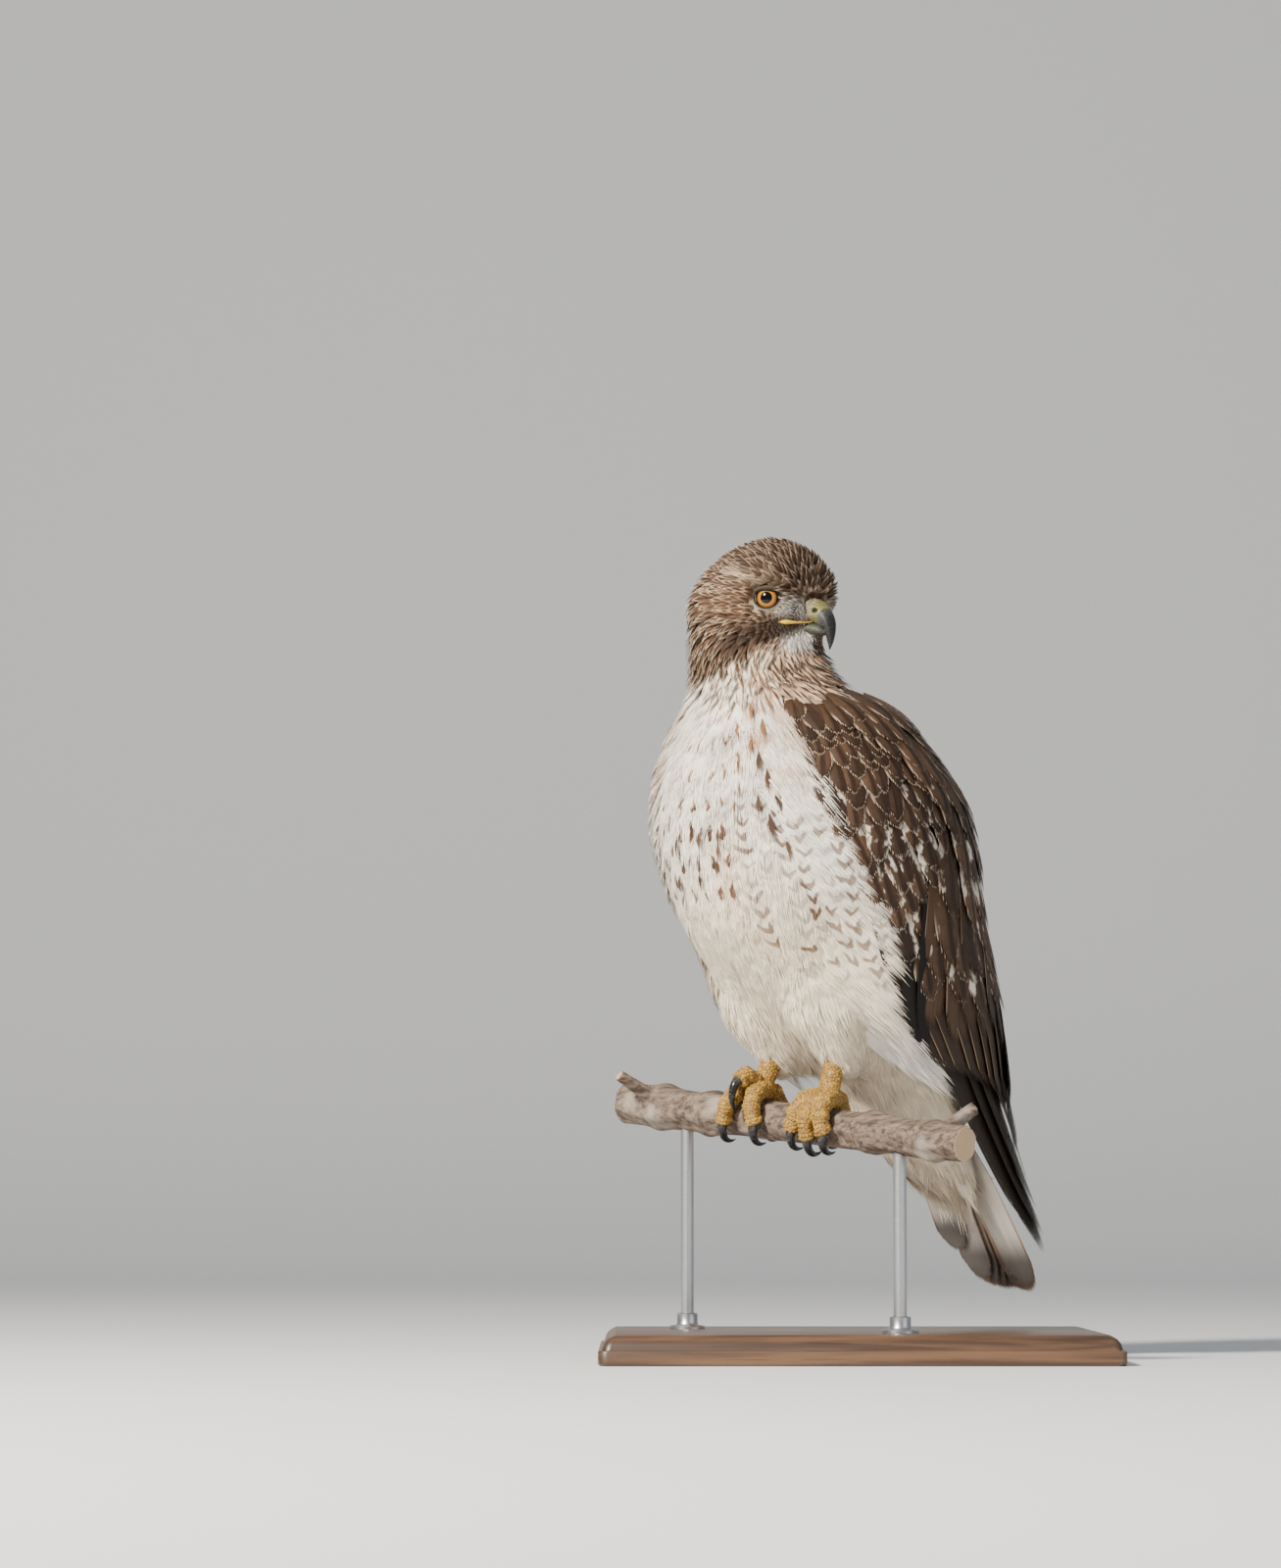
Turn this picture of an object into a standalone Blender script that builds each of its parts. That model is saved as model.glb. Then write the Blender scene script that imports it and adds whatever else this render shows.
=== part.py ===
"""A life-size red-tailed hawk gripping a cut length of branch, on a plain display stand.

Every length is in millimetres and becomes metres when a mesh is made. The bird is shaped in its
own frame, +X towards its breast, +Y towards its left wing, +Z up, with heights counted from the
floor. The head has a frame of its own at eye level, +X towards the beak. When all the pieces are
cut to fit, the hawk empty turns the bird and its perch over the middle of the base.
"""

import math

import bmesh
import bpy
import numpy as np
from mathutils import Matrix, Vector

MM = 0.001
TOUCH_GAP = 0.3  # air left between two nodes that meet
BIRD_HEADING = math.radians(220)  # way the breast points, counted from +X
BIRD_PLACE = (0, 13, 0)

# Body stations: height, middle X, middle Y, reach to the front, reach to the back, half width
BODY_STATIONS = (
    (100, -80, 0, 14, 12, 17),
    (115, -70, 0, 29, 22, 28),
    (130, -60, 0, 40, 30, 34),
    (148, -48, 0, 44, 41, 40),
    (172, -32, 0, 50, 47, 50),
    (196, -16, 0, 64, 59, 60),
    (222, -2, 0, 82, 79, 70),
    (250, 16, 0, 96, 87, 79),
    (274, 26, 0, 99, 90, 83),
    (298, 34, 0, 99, 93, 85),
    (322, 40, 0, 97, 94, 85),
    (346, 44, 0, 92, 88, 82),
    (370, 50, 0, 80.5, 71, 76),
    (394, 58, 0, 63, 47, 64),
    (412, 67, -1, 49, 45, 50),
    (430, 76, -3, 42, 43, 42),
    (445, 77, -3, 37, 42, 40),
    (453, 75, -1, 31, 38, 33),
    (459, 72, 1, 21, 28, 22),
    (463, 70, 2, 8, 10, 8),
)
NECK_BASE = 405
TAIL_BASE = 165
BODY_SIDES = 32
BODY_STEP = 15
NECK_STEP = 7.5

# Thigh stations of the left leg: height, middle X, middle Y, half length, half width
THIGH_STATIONS = (
    (172, 35, 27.5, 9, 9),
    (177, 35, 27.5, 13, 12),
    (186, 35, 28, 20, 19),
    (200, 40, 28.5, 29, 27),
    (222, 43, 30, 37, 33),
    (250, 30, 34, 40, 34),
    (268, 24, 34, 30, 26),
)

# Wing stations: height, middle X, half length, half width, and the angles from straight ahead at
# which the folded wing's front and back edges lie
WING_STATIONS = (
    (60, -145, 22, 29, 92, 150),
    (66, -141, 25, 32, 90, 153),
    (88, -120, 36, 39, 88, 156),
    (112, -93, 47, 46, 87, 160),
    (142, -57, 66, 54, 86, 167),
    (172, -26, 84, 68, 79, 172),
    (196, -10, 97, 79, 73, 173),
    (222, 4, 101, 86, 68, 174),
    (250, 17, 103, 91, 64, 175),
    (274, 26, 105, 95, 61, 175),
    (298, 33, 106, 97, 59, 175),
    (322, 38, 106, 97, 57, 175),
    (346, 42, 97, 94, 55, 174),
    (370, 48, 79, 85, 53, 172),
    (394, 55, 62, 70, 51, 166),
    (404, 59, 52, 58, 50, 158),
)
WING_TOP = 401
WING_CORE_BASE = 228
WING_ROWS = 8
WING_COLUMNS = 8
WING_FRONT_EDGE = 0.04  # share of the width where the arm's front edge lies
WING_REAR_EDGE = 0.97
WING_FRONT_CUT = 0.2  # how much further back the front edge starts at the base
WING_FRONT_TUCK = 6
WING_DEPTH = (9.5, 21.5)  # the arm's thickness with its cover of feathers, at the base and the shoulder
WING_COVER = (3.5, 0.5)  # the feathers' part of that, below the shoulder and on it
VANE_THICKNESS = 0.6
VANE_OUTLINE = ((0, 0.35), (0.3, 0.92), (0.6, 1), (0.88, 0.84), (1, 0.34))
# Tiers of the folded left wing from the lowest up, each starting under the tips of the next: how
# many feathers, then for the first and the last of them the share of the wing's width and the
# height of its root, the share and height of its tip, then the width of a feather, how far it
# lies off the wing's face, and how much its rear edge sinks under the next feather
WING_TIERS = (
    (9, (0.10, 268), (0.94, 264), (0.13, 172), (0.94, 152), 27, -1.6, 0.10),
    (6, (0.11, 318), (0.68, 316), (0.13, 254), (0.70, 244), 30, 0.2, 0.06),
    (6, (0.11, 376), (0.66, 384), (0.13, 304), (0.68, 296), 29, 0.6, 0.06),
    (4, (0.74, 388), (0.94, 380), (0.76, 262), (0.945, 250), 29, 1.4, 0.08),
)
# Primaries, which lie layer under layer and make the wing's point: share and height of each root
# and tip, from the shortest on top to the outermost beneath
PRIMARIES = (
    (0.44, 250, 0.84, 128),
    (0.40, 250, 0.72, 110),
    (0.36, 250, 0.60, 93),
    (0.32, 250, 0.49, 77),
    (0.28, 250, 0.37, 62),
    (0.24, 250, 0.24, 76),
)
PRIMARY_WIDTH = 20
PRIMARY_LIFT = -4.6
PRIMARY_LAYER = 1.5
VANE_ROOT_LENGTH = 13  # stretch over which a feather comes out of the wing
VANE_ROOT_DEPTH = 6
LONG_VANE = 80

TAIL_ROOT = (-71, 0, 150)
TAIL_TIP = (-135, 0, 38)
TAIL_LAYER = 1.05
TAIL_FEATHER_WIDTH = 26
TAIL_SPACING = 4.6
# How much each tail feather is shorter than the middle pair, on the left and on the right
TAIL_SHORTER = ((0, 0, 1, 2, 3, 5), (0, 1, 4, 10, 20, 34))

# Head frame: beside the neck's middle, turned to look over the left shoulder
HEAD_PLACE = (67, 11, 460.2)
HEAD_TURN = math.radians(92)
# Head stations: distance ahead of the eyes' middle, half width, top, level of greatest width, bottom
HEAD_STATIONS = (
    (-58, 3, -2, -6, -10),
    (-56, 12, 9, -7, -20),
    (-51, 26, 19, -8, -29),
    (-44, 36, 26.5, -8, -34),
    (-34, 41, 32.5, -8, -37),
    (-20, 42, 38, -8, -37),
    (-5, 39, 39.5, -6, -35),
    (8, 34.5, 36, -2, -31),
    (18, 28, 29, 1, -28),
    (24, 20, 20.5, -1, -26),
    (28, 14, 11.5, -4, -23.5),
    (31, 10, 4, -7, -21),
    (33, 5.5, -2, -9, -17),
)
HEAD_SIDES = 30
FACE_DETAIL = 0.25  # how much the head's points are drawn towards the level of the eyes
BROW = (19, 27, 10)  # middle of the ridge over the left eye
BROW_REACH = (13, 9, 5)
BROW_SLOPE = 0.3
BROW_RISE = 3.6
EYE_MIDDLE = (10, 17, 0)
EYE_RADIUS = 9.5
EYE_AIM = math.radians(50)
SOCKET_LEVEL = 6.2  # how far the socket's floor lies outside the eyeball's middle
SOCKET_WIDTH = 11.5
LID_LEVEL = 6.6
LID_RADIUS = 7.3
LID_THICKNESS = 1.2
SOCKET_ROOM = 5  # how far the neck's feathers keep from the eyeballs

# Upper beak: how far along it, ridge X and Z, cutting edge X and Z, half width
BEAK_STATIONS = (
    (0, 26, 1, 26, -14, 9),
    (1, 30, 2, 30, -14, 8.5),
    (2, 36, -1, 35, -15, 7.8),
    (3, 42, -6, 38.5, -17, 6.6),
    (4, 46, -13, 40.5, -20, 5.2),
    (5, 47, -20, 41.5, -24, 3.8),
    (6, 45.5, -27, 42, -28, 2.2),
    (7, 43, -31, 42.6, -31.4, 0.5),
)
CERE_END = 1.95
NOSTRIL = (33, 7.6, -6.5)
NOSTRIL_SIZE = (1.8, 1.6, 1.2)
CERE_SWELL = 0.6
BEAK_FLATNESS = 0.12
# Lower beak: X, top, bottom, half width
LOWER_BEAK_STATIONS = (
    (26, -15, -21, 8),
    (30, -15, -22, 7.2),
    (34, -16, -23, 6),
    (37.5, -17.6, -23.5, 4),
    (40, -20.2, -23, 1.6),
)
GAPE = ((34, 2, -11.5), (31.5, 7.2, -13.6), (27, 13.8, -14), (23, 19.2, -14), (19, 23.2, -15.5))
GAPE_RADIUS = 1.4

PERCH_MIDDLE = Vector((50, 0, 144))
PERCH_WAY = Vector((-0.139, 0.99, -0.105)).normalized()
PERCH_AHEAD = Vector((0.99, 0.139, 0)).normalized()
PERCH_UP = PERCH_AHEAD.cross(PERCH_WAY)
PERCH_RADIUS = 12
PERCH_LENGTH = 270
KNOTS = (-104, -62, 66, 112)  # swellings along the perch
KNOT_SWELL = 2.2
KNOT_REACH = 7
# Cut twigs: place along the perch, angle round it, lean along it, length
TWIGS = ((-104, 60, -12, 24), (112, -50, 9, 20))
TWIG_RADII = (5, 3.4)
FOOT_ALONG = 27
TARSUS_TOP = (36, 27, 192)
TARSUS_RADIUS = 6.5
PAD_HEIGHT = 5.5
PAD_SIZE = (8.5, 8.5, 6.5)
TOE_RADIUS = (5.4, 4.0)
TOE_ARCH = 2.2
TOE_END_SWELL = 0.6
TOE_SECTIONS = 6
# Toes: number, angle round the perch where each begins and ends, and its drift along the perch
TOES = (
    (1, -8, -88, 0, -3),
    (2, 8, 98, -4, -12),
    (3, 10, 112, 0, 0),
    (4, 8, 100, 5, 13),
)
TALON_RADIUS = (3.4, 2.1, 0.4)  # at the toe, past the middle and at the point
TALON_START = 4.6
TALON_BEND = 4.2
TALON_DROP = 2.2
TALON_ANGLE = 68
TALON_SECTIONS = 6
# The lifted middle toe of the right foot: ahead and above the perch's middle
LIFTED_TOE = ((2, 17.5), (6, 21.5), (11, 25), (16, 25.5), (20, 22.5))
LIFTED_TALON = ((20, 22.5), (23.5, 18.5), (24.7, 12.5), (23, 7), (20, 3))

BASE_SIZE = (310, 260, 18)
ROD_RADIUS = 4
ROD_ALONG = 85


def smooth(rows, at):
    """The columns of a table at one or more keys, on cubic curves through its rows."""
    rows = np.array(rows, float)
    keys, values = rows[:, 0], rows[:, 1:]
    slopes = np.gradient(values, keys, axis=0)
    at = np.clip(np.atleast_1d(at), keys[0], keys[-1])
    i = np.clip(np.searchsorted(keys, at) - 1, 0, len(keys) - 2)
    span = (keys[i + 1] - keys[i])[:, None]
    t = (at - keys[i])[:, None] / span
    start = (2 * t**3 - 3 * t**2 + 1) * values[i] + (t**3 - 2 * t**2 + t) * span * slopes[i]
    end = (3 * t**2 - 2 * t**3) * values[i + 1] + (t**3 - t**2) * span * slopes[i + 1]
    return start + end


def ease(low, high, value):
    """0 below low, 1 above high, and a smooth step between."""
    share = min(max((value - low) / (high - low), 0), 1)
    return share * share * (3 - 2 * share)


def material(name, colour, roughness, metallic=0.0):
    """A plain surface, shared by every piece of that name."""
    made = bpy.data.materials.get(name)
    if made is None:
        made = bpy.data.materials.new(name)
        made.use_nodes = True
        surface = made.node_tree.nodes["Principled BSDF"]
        surface.inputs["Base Color"].default_value = (*colour, 1)
        surface.inputs["Roughness"].default_value = roughness
        surface.inputs["Metallic"].default_value = metallic
    return made


def finish(name, surface, looks):
    """A mesh object in the hawk's collection, made from a bmesh in metres."""
    mesh = bpy.data.meshes.new(name)
    surface.to_mesh(mesh)
    surface.free()
    mesh.materials.append(looks)
    obj = bpy.data.objects.new(name, mesh)
    hawk_collection.objects.link(obj)
    return obj


def loft(name, rings, looks, caps="fan"):
    """A closed solid through rings of equally many points.

    Fan caps close a round ring. Strip caps close a thin one, whose second half runs back along
    the first, and its two faces are then split into triangles alike.
    """
    surface = bmesh.new()
    rows = [[surface.verts.new(Vector(p) * MM) for p in ring] for ring in rings]
    count = len(rows[0])
    half = count // 2
    for low, high in zip(rows, rows[1:]):
        for i in range(count):
            j = (i + 1) % count
            if caps == "strip" and i >= half:
                surface.faces.new((low[i], low[j], high[i]))
                surface.faces.new((low[j], high[j], high[i]))
            else:
                surface.faces.new((low[i], low[j], high[j]))
                surface.faces.new((low[i], high[j], high[i]))
    for row in (rows[0], rows[-1]):
        if caps == "strip":
            for i in range(half - 1):
                surface.faces.new((row[i], row[i + 1], row[count - 2 - i], row[count - 1 - i]))
        else:
            middle = surface.verts.new(sum((v.co for v in row), Vector()) / count)
            for i in range(count):
                surface.faces.new((row[i], row[(i + 1) % count], middle))
    bmesh.ops.recalc_face_normals(surface, faces=surface.faces)
    return finish(name, surface, looks)


def tube(name, points, radii, looks):
    """A round bar through points, with a radius at each, made from a beveled curve."""
    curve = bpy.data.curves.new(name, "CURVE")
    curve.dimensions = "3D"
    curve.bevel_depth = MM
    curve.bevel_resolution = 2
    curve.use_fill_caps = True
    spline = curve.splines.new("POLY")
    spline.points.add(len(points) - 1)
    for spot, point, radius in zip(spline.points, points, radii):
        spot.co = (*(Vector(point) * MM), 1)
        spot.radius = radius
    bar = bpy.data.objects.new(name, curve)
    hawk_collection.objects.link(bar)
    mesh = evaluated_mesh(bar)
    bpy.data.objects.remove(bar)
    bpy.data.curves.remove(curve)
    surface = bmesh.new()
    surface.from_mesh(mesh)
    bpy.data.meshes.remove(mesh)
    bmesh.ops.remove_doubles(surface, verts=surface.verts, dist=0.01 * MM)
    bmesh.ops.recalc_face_normals(surface, faces=surface.faces)
    return finish(name, surface, looks)


def smooth_path(points, count):
    """Points on a smooth curve through the given ones."""
    rows = [(k, *point) for k, point in enumerate(points)]
    return [Vector(p) for p in smooth(rows, np.linspace(0, len(points) - 1, count))]


def evaluated_mesh(obj):
    """The object's mesh with its modifiers applied."""
    graph = bpy.context.evaluated_depsgraph_get()
    return bpy.data.meshes.new_from_object(obj.evaluated_get(graph), depsgraph=graph)


def keep_largest(obj):
    """Drops all but the closed surface that holds the most volume."""
    surface = bmesh.new()
    surface.from_mesh(obj.data)
    surface.faces.ensure_lookup_table()
    waiting = set(surface.faces)
    islands = []
    while waiting:
        island = {waiting.pop()}
        edge = list(island)
        while edge:
            for side in edge.pop().edges:
                for face in side.link_faces:
                    if face in waiting:
                        waiting.discard(face)
                        island.add(face)
                        edge.append(face)
        volume = 0
        for face in island:
            corners = [v.co for v in face.verts]
            for b, c in zip(corners[1:], corners[2:]):
                volume += corners[0].dot(b.cross(c))
        islands.append((volume, len(islands), island))
    largest = max(islands)[2]
    scraps = [v for v in surface.verts if not any(f in largest for f in v.link_faces)]
    bmesh.ops.delete(surface, geom=scraps, context="VERTS")
    surface.to_mesh(obj.data)
    surface.free()


def combine(obj, operation, others, solver="EXACT"):
    """Applies one Boolean with a collection of closed solids, which are then removed."""
    tools = bpy.data.collections.new("tools")
    bpy.context.scene.collection.children.link(tools)
    for other in others:
        for holder in list(other.users_collection):
            holder.objects.unlink(other)
        tools.objects.link(other)
    boolean = obj.modifiers.new(operation.lower(), "BOOLEAN")
    boolean.operation = operation
    boolean.operand_type = "COLLECTION"
    boolean.collection = tools
    boolean.solver = solver
    old = obj.data
    looks = old.materials[0]
    mesh = evaluated_mesh(obj)
    obj.modifiers.clear()
    obj.data = mesh
    bpy.data.meshes.remove(old)
    mesh.materials.clear()
    mesh.materials.append(looks)
    mesh.polygons.foreach_set("material_index", [0] * len(mesh.polygons))
    for other in list(tools.objects):
        bpy.data.objects.remove(other)
    bpy.data.collections.remove(tools)
    keep_largest(obj)


def grown(obj, by=TOUCH_GAP):
    """A copy of a solid with each point moved out along its normal, to cut a neighbour clear."""
    copy = bpy.data.objects.new(obj.name + "_clearance", obj.data.copy())
    copy.hide_render = True
    copy.display_type = "WIRE"
    hawk_collection.objects.link(copy)
    for vertex, normal in zip(copy.data.vertices, [v.normal.copy() for v in obj.data.vertices]):
        vertex.co += normal * by * MM
    return copy


def body_ring(height):
    """The body's outline at one height: two half ellipses that share a width."""
    middle_x, middle_y, front, back, width = smooth(BODY_STATIONS, height)[0]
    ring = []
    for angle in np.linspace(0, 2 * math.pi, BODY_SIDES, endpoint=False):
        reach = front if math.cos(angle) > 0 else back
        ring.append((middle_x + reach * math.cos(angle), middle_y + width * math.sin(angle), height))
    return ring


def body_length(name, low, high, step, looks):
    """The length of the body between two heights."""
    count = max(2, round((high - low) / step) + 1)
    return loft(name, [body_ring(z) for z in np.linspace(low, high, count)], looks)


def thigh(name, side):
    """One feathered thigh, on the left with side 1 and the right with side -1."""
    rings = []
    for height in np.linspace(THIGH_STATIONS[0][0], THIGH_STATIONS[-1][0], 11):
        x, y, length, width = smooth(THIGH_STATIONS, height)[0]
        ring = []
        for angle in np.linspace(0, 2 * math.pi, 20, endpoint=False):
            ring.append((x + length * math.cos(angle), side * (y + width * math.sin(angle)), height))
        rings.append(ring)
    return loft(name, rings, feather_white)


def wing_point(height, share):
    """A point on the outer face of the folded left wing, share 0 at its front edge, 1 at its back."""
    middle, length, width, front, back = smooth(WING_STATIONS, height)[0]
    angle = math.radians(front + (back - front) * share)
    return Vector((middle + length * math.cos(angle), width * math.sin(angle), height))


def wing_out(height, share):
    """The wing face's outward normal there."""
    across = wing_point(height, share + 0.02) - wing_point(height, share - 0.02)
    upward = wing_point(height + 2, share) - wing_point(height - 2, share)
    return across.cross(upward).normalized()


def mirrored(points, side):
    """Points of the left wing, or their mirror images for the right."""
    return [(p[0], side * p[1], p[2]) for p in points]


def wing_vane(side, root, tip, width, lift, lean, root_depth):
    """One feather of a folded wing: a thin plate that follows the wing's face down to its tip.

    Its root and tip are a share of the wing's width and a height. Lean is how fast it sinks from
    its front edge to its rear one, so that the next feather lies over it.
    """
    rings = []
    length = root[1] - tip[1]
    middles = (0.5, 0.86) if length > LONG_VANE else (0.8,)
    for part in (0, VANE_ROOT_LENGTH / length, *middles, 1):
        share = root[0] + (tip[0] - root[0]) * part
        height = root[1] - length * part
        level = lift if part else lift - root_depth
        half = width / 2 * smooth(VANE_OUTLINE, part)[0][0]
        reach = (wing_point(height, share + 0.01) - wing_point(height, share - 0.01)).length / 0.02
        outer, inner = [], []
        for across in (-half, half):
            spot = wing_point(height, share + across / reach)
            out = wing_out(height, share + across / reach)
            outer.append(spot + out * (level - lean * across + VANE_THICKNESS / 2))
            inner.append(spot + out * (level - lean * across - VANE_THICKNESS / 2))
        rings.append(mirrored(outer + inner[::-1], side))
    return loft("vane", rings, feather_brown, caps="strip")


def wing_core(name, side):
    """The arm of a folded wing under its feathers, thick where it lies against the body."""
    rings = []
    for height in np.linspace(WING_CORE_BASE, WING_TOP, WING_ROWS):
        depth = WING_DEPTH[0] + (WING_DEPTH[1] - WING_DEPTH[0]) * ease(250, 310, height)
        cover = WING_COVER[0] + (WING_COVER[1] - WING_COVER[0]) * ease(345, 385, height)
        front = WING_FRONT_EDGE + WING_FRONT_CUT * (1 - ease(WING_CORE_BASE, 280, height))
        outer, inner = [], []
        for share in np.linspace(front, WING_REAR_EDGE, WING_COLUMNS):
            spot, out = wing_point(height, share), wing_out(height, share)
            tuck = WING_FRONT_TUCK * (1 - ease(0, 0.2, share - front))
            outer.append(spot - out * (cover + tuck))
            inner.append(spot - out * (depth + tuck))
        rings.append(mirrored(outer + inner[::-1], side))
    return loft(name, rings, feather_brown, caps="strip")


def wing(name, side):
    """One folded wing: its core, the primaries, and the tiers of secondaries and coverts."""
    core = wing_core(name, side)
    vanes = []
    for layer, (root_share, root_height, tip_share, tip_height) in enumerate(PRIMARIES):
        lift = PRIMARY_LIFT - PRIMARY_LAYER * layer
        root, tip = (root_share, root_height), (tip_share, tip_height)
        vanes.append(wing_vane(side, root, tip, PRIMARY_WIDTH, lift, 0, 0))
    for count, first_root, last_root, first_tip, last_tip, width, lift, lean in WING_TIERS:
        for part in np.linspace(0, 1, count):
            root = [a + (b - a) * part for a, b in zip(first_root, last_root)]
            tip = [a + (b - a) * part for a, b in zip(first_tip, last_tip)]
            vanes.append(wing_vane(side, root, tip, width, lift, lean, VANE_ROOT_DEPTH))
    combine(core, "UNION", vanes)
    return core


def tail_vane(layer):
    """One tail feather, from the middle pair on top to the outermost pair beneath."""
    root, tip = Vector(TAIL_ROOT), Vector(TAIL_TIP)
    down = (tip - root).normalized()
    across = Vector((0, 1, 0))
    out = across.cross(down)
    rank, right = divmod(layer, 2)
    aside = (1 - 2 * right) * TAIL_SPACING * (0.5 + rank)
    length = (tip - root).length - TAIL_SHORTER[right][rank]
    rings = []
    for part in (0, 0.3, 0.62, 0.9, 1):
        half = TAIL_FEATHER_WIDTH / 2 * smooth(VANE_OUTLINE, part)[0][0]
        middle = root + down * length * part + across * aside * (0.6 + 0.4 * part)
        middle += out * TAIL_LAYER * (5.5 - layer)
        thick = out * VANE_THICKNESS / 2
        ring = [middle + across * half + thick, middle - across * half + thick]
        ring += [middle - across * half - thick, middle + across * half - thick]
        rings.append(ring)
    return loft("vane", rings, feather_white, caps="strip")


def tail():
    """The tail: its feathered root and twelve feathers, each pair lying under the last."""
    core = body_length("tail", BODY_STATIONS[0][0], TAIL_BASE - TOUCH_GAP, BODY_STEP, feather_white)
    combine(core, "UNION", [tail_vane(layer) for layer in range(12)])
    return core


def head_point(x, angle):
    """A point of the head's skin, in the head frame, with the brows raised and the eyes sunk."""
    width, top, level, bottom = smooth(HEAD_STATIONS, x)[0]
    rise = top - level if math.sin(angle) > 0 else level - bottom
    point = Vector((x, width * math.cos(angle), level + rise * math.sin(angle)))
    for side in (1, -1):
        brow = Vector((BROW[0], side * BROW[1], BROW[2]))
        away = point - brow
        away.z += away.x * BROW_SLOPE
        reach = math.exp(-sum((part / size) ** 2 for part, size in zip(away, BROW_REACH)))
        point += Vector((0.3, side * 0.95, 0.1)) * BROW_RISE * reach
        eye = Vector((EYE_MIDDLE[0], side * EYE_MIDDLE[1], EYE_MIDDLE[2]))
        aim = Vector((math.cos(EYE_AIM), side * math.sin(EYE_AIM), 0))
        depth = (point - eye).dot(aim)
        beside = (point - eye - aim * depth).length
        sunk = max(0, depth - SOCKET_LEVEL) * math.exp(-((beside / SOCKET_WIDTH) ** 4))
        point -= aim * sunk
    return point


def head():
    """The head without its beak, with a ring of lid round each eye."""
    back = HEAD_STATIONS[0][0] * np.cos(np.linspace(0, math.pi / 2, 8, endpoint=False))
    face = np.linspace(0, HEAD_STATIONS[-1][0], 14)
    turns = np.linspace(0, 2 * math.pi, HEAD_SIDES, endpoint=False)
    rings = []
    for x in (*back, *face):
        rings.append([head_point(x, turn - FACE_DETAIL * math.sin(2 * turn)) for turn in turns])
    skull = loft("head", rings, head_feather)
    lids = []
    for side in (1, -1):
        aim = Vector((math.cos(EYE_AIM), side * math.sin(EYE_AIM), 0))
        middle = Vector((EYE_MIDDLE[0], side * EYE_MIDDLE[1], 0)) + aim * LID_LEVEL
        bpy.ops.mesh.primitive_torus_add(
            major_segments=18,
            minor_segments=6,
            major_radius=LID_RADIUS * MM,
            minor_radius=LID_THICKNESS * MM,
        )
        ring = bpy.context.object
        turn = aim.to_track_quat("Z", "Y").to_matrix().to_4x4()
        ring.data.transform(Matrix.Translation(middle * MM) @ turn)
        lids.append(ring)
    combine(skull, "UNION", lids)
    return skull


def ball(name, middle, radii, looks, segments=16, rings=10):
    """A sphere or an egg, stretched along the axes."""
    bpy.ops.mesh.primitive_uv_sphere_add(segments=segments, ring_count=rings, radius=MM)
    made = bpy.context.object
    made.name = name
    made.data.transform(Matrix.Translation(Vector(middle) * MM) @ Matrix.Diagonal((*radii, 1)))
    made.data.materials.append(looks)
    for holder in list(made.users_collection):
        holder.objects.unlink(made)
    hawk_collection.objects.link(made)
    return made


def beak_ring(along, swell=0.0):
    """One section of the upper beak, from its ridge round to its cutting edges."""
    ridge_x, ridge_z, edge_x, edge_z, width = smooth(BEAK_STATIONS, along)[0]
    middle = Vector(((ridge_x + edge_x) / 2, 0, (ridge_z + edge_z) / 2))
    rise = Vector((ridge_x, 0, ridge_z)) - middle
    rise *= 1 + swell / rise.length
    ring = []
    for angle in np.linspace(0, 2 * math.pi, 16, endpoint=False):
        aside = (width + swell) * math.cos(angle) * (1 - BEAK_FLATNESS * math.cos(2 * angle))
        ring.append(middle + rise * math.sin(angle) + Vector((0, aside, 0)))
    return ring


def cere():
    """The soft yellow base of the beak, with its nostrils and the fleshy line of the gape."""
    rings = []
    for along in np.linspace(0, CERE_END, 6):
        rings.append(beak_ring(along, CERE_SWELL * (1 - ease(1.4, CERE_END, along))))
    made = loft("cere", rings, cere_skin)
    corners = []
    for side in (1, -1):
        path = smooth_path(mirrored(GAPE, side), 5)
        corners.append(tube("gape", path, np.linspace(GAPE_RADIUS, 0.6 * GAPE_RADIUS, 5), cere_skin))
    combine(made, "UNION", corners)
    pits = [ball("nostril", mirrored([NOSTRIL], side)[0], NOSTRIL_SIZE, cere_skin, 10, 6) for side in (1, -1)]
    combine(made, "DIFFERENCE", pits)
    return made


def beak_upper():
    """The horn of the upper beak, hooked down past the lower."""
    rings = [beak_ring(along) for along in np.linspace(CERE_END + 0.06, BEAK_STATIONS[-1][0], 12)]
    return loft("beak_upper", rings, beak_horn)


def beak_lower():
    """The lower beak, shut against the upper with the line of the mouth between them."""
    rings = []
    for x in np.linspace(LOWER_BEAK_STATIONS[0][0], LOWER_BEAK_STATIONS[-1][0], 7):
        top, bottom, width = smooth(LOWER_BEAK_STATIONS, x)[0]
        ring = []
        for angle in np.linspace(0, 2 * math.pi, 14, endpoint=False):
            middle, rise = (top + bottom) / 2, (top - bottom) / 2
            ring.append((x, width * math.cos(angle), middle + rise * math.sin(angle)))
        rings.append(ring)
    return loft("beak_lower", rings, beak_horn)


def perch_point(along, ahead, above):
    """A point beside the perch's middle line."""
    return PERCH_MIDDLE + PERCH_WAY * along + PERCH_AHEAD * ahead + PERCH_UP * above


def round_perch(along, angle, radius):
    """A point round the perch, its angle counted forward from the top."""
    turn = math.radians(angle)
    return perch_point(along, radius * math.sin(turn), radius * math.cos(turn))


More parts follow.
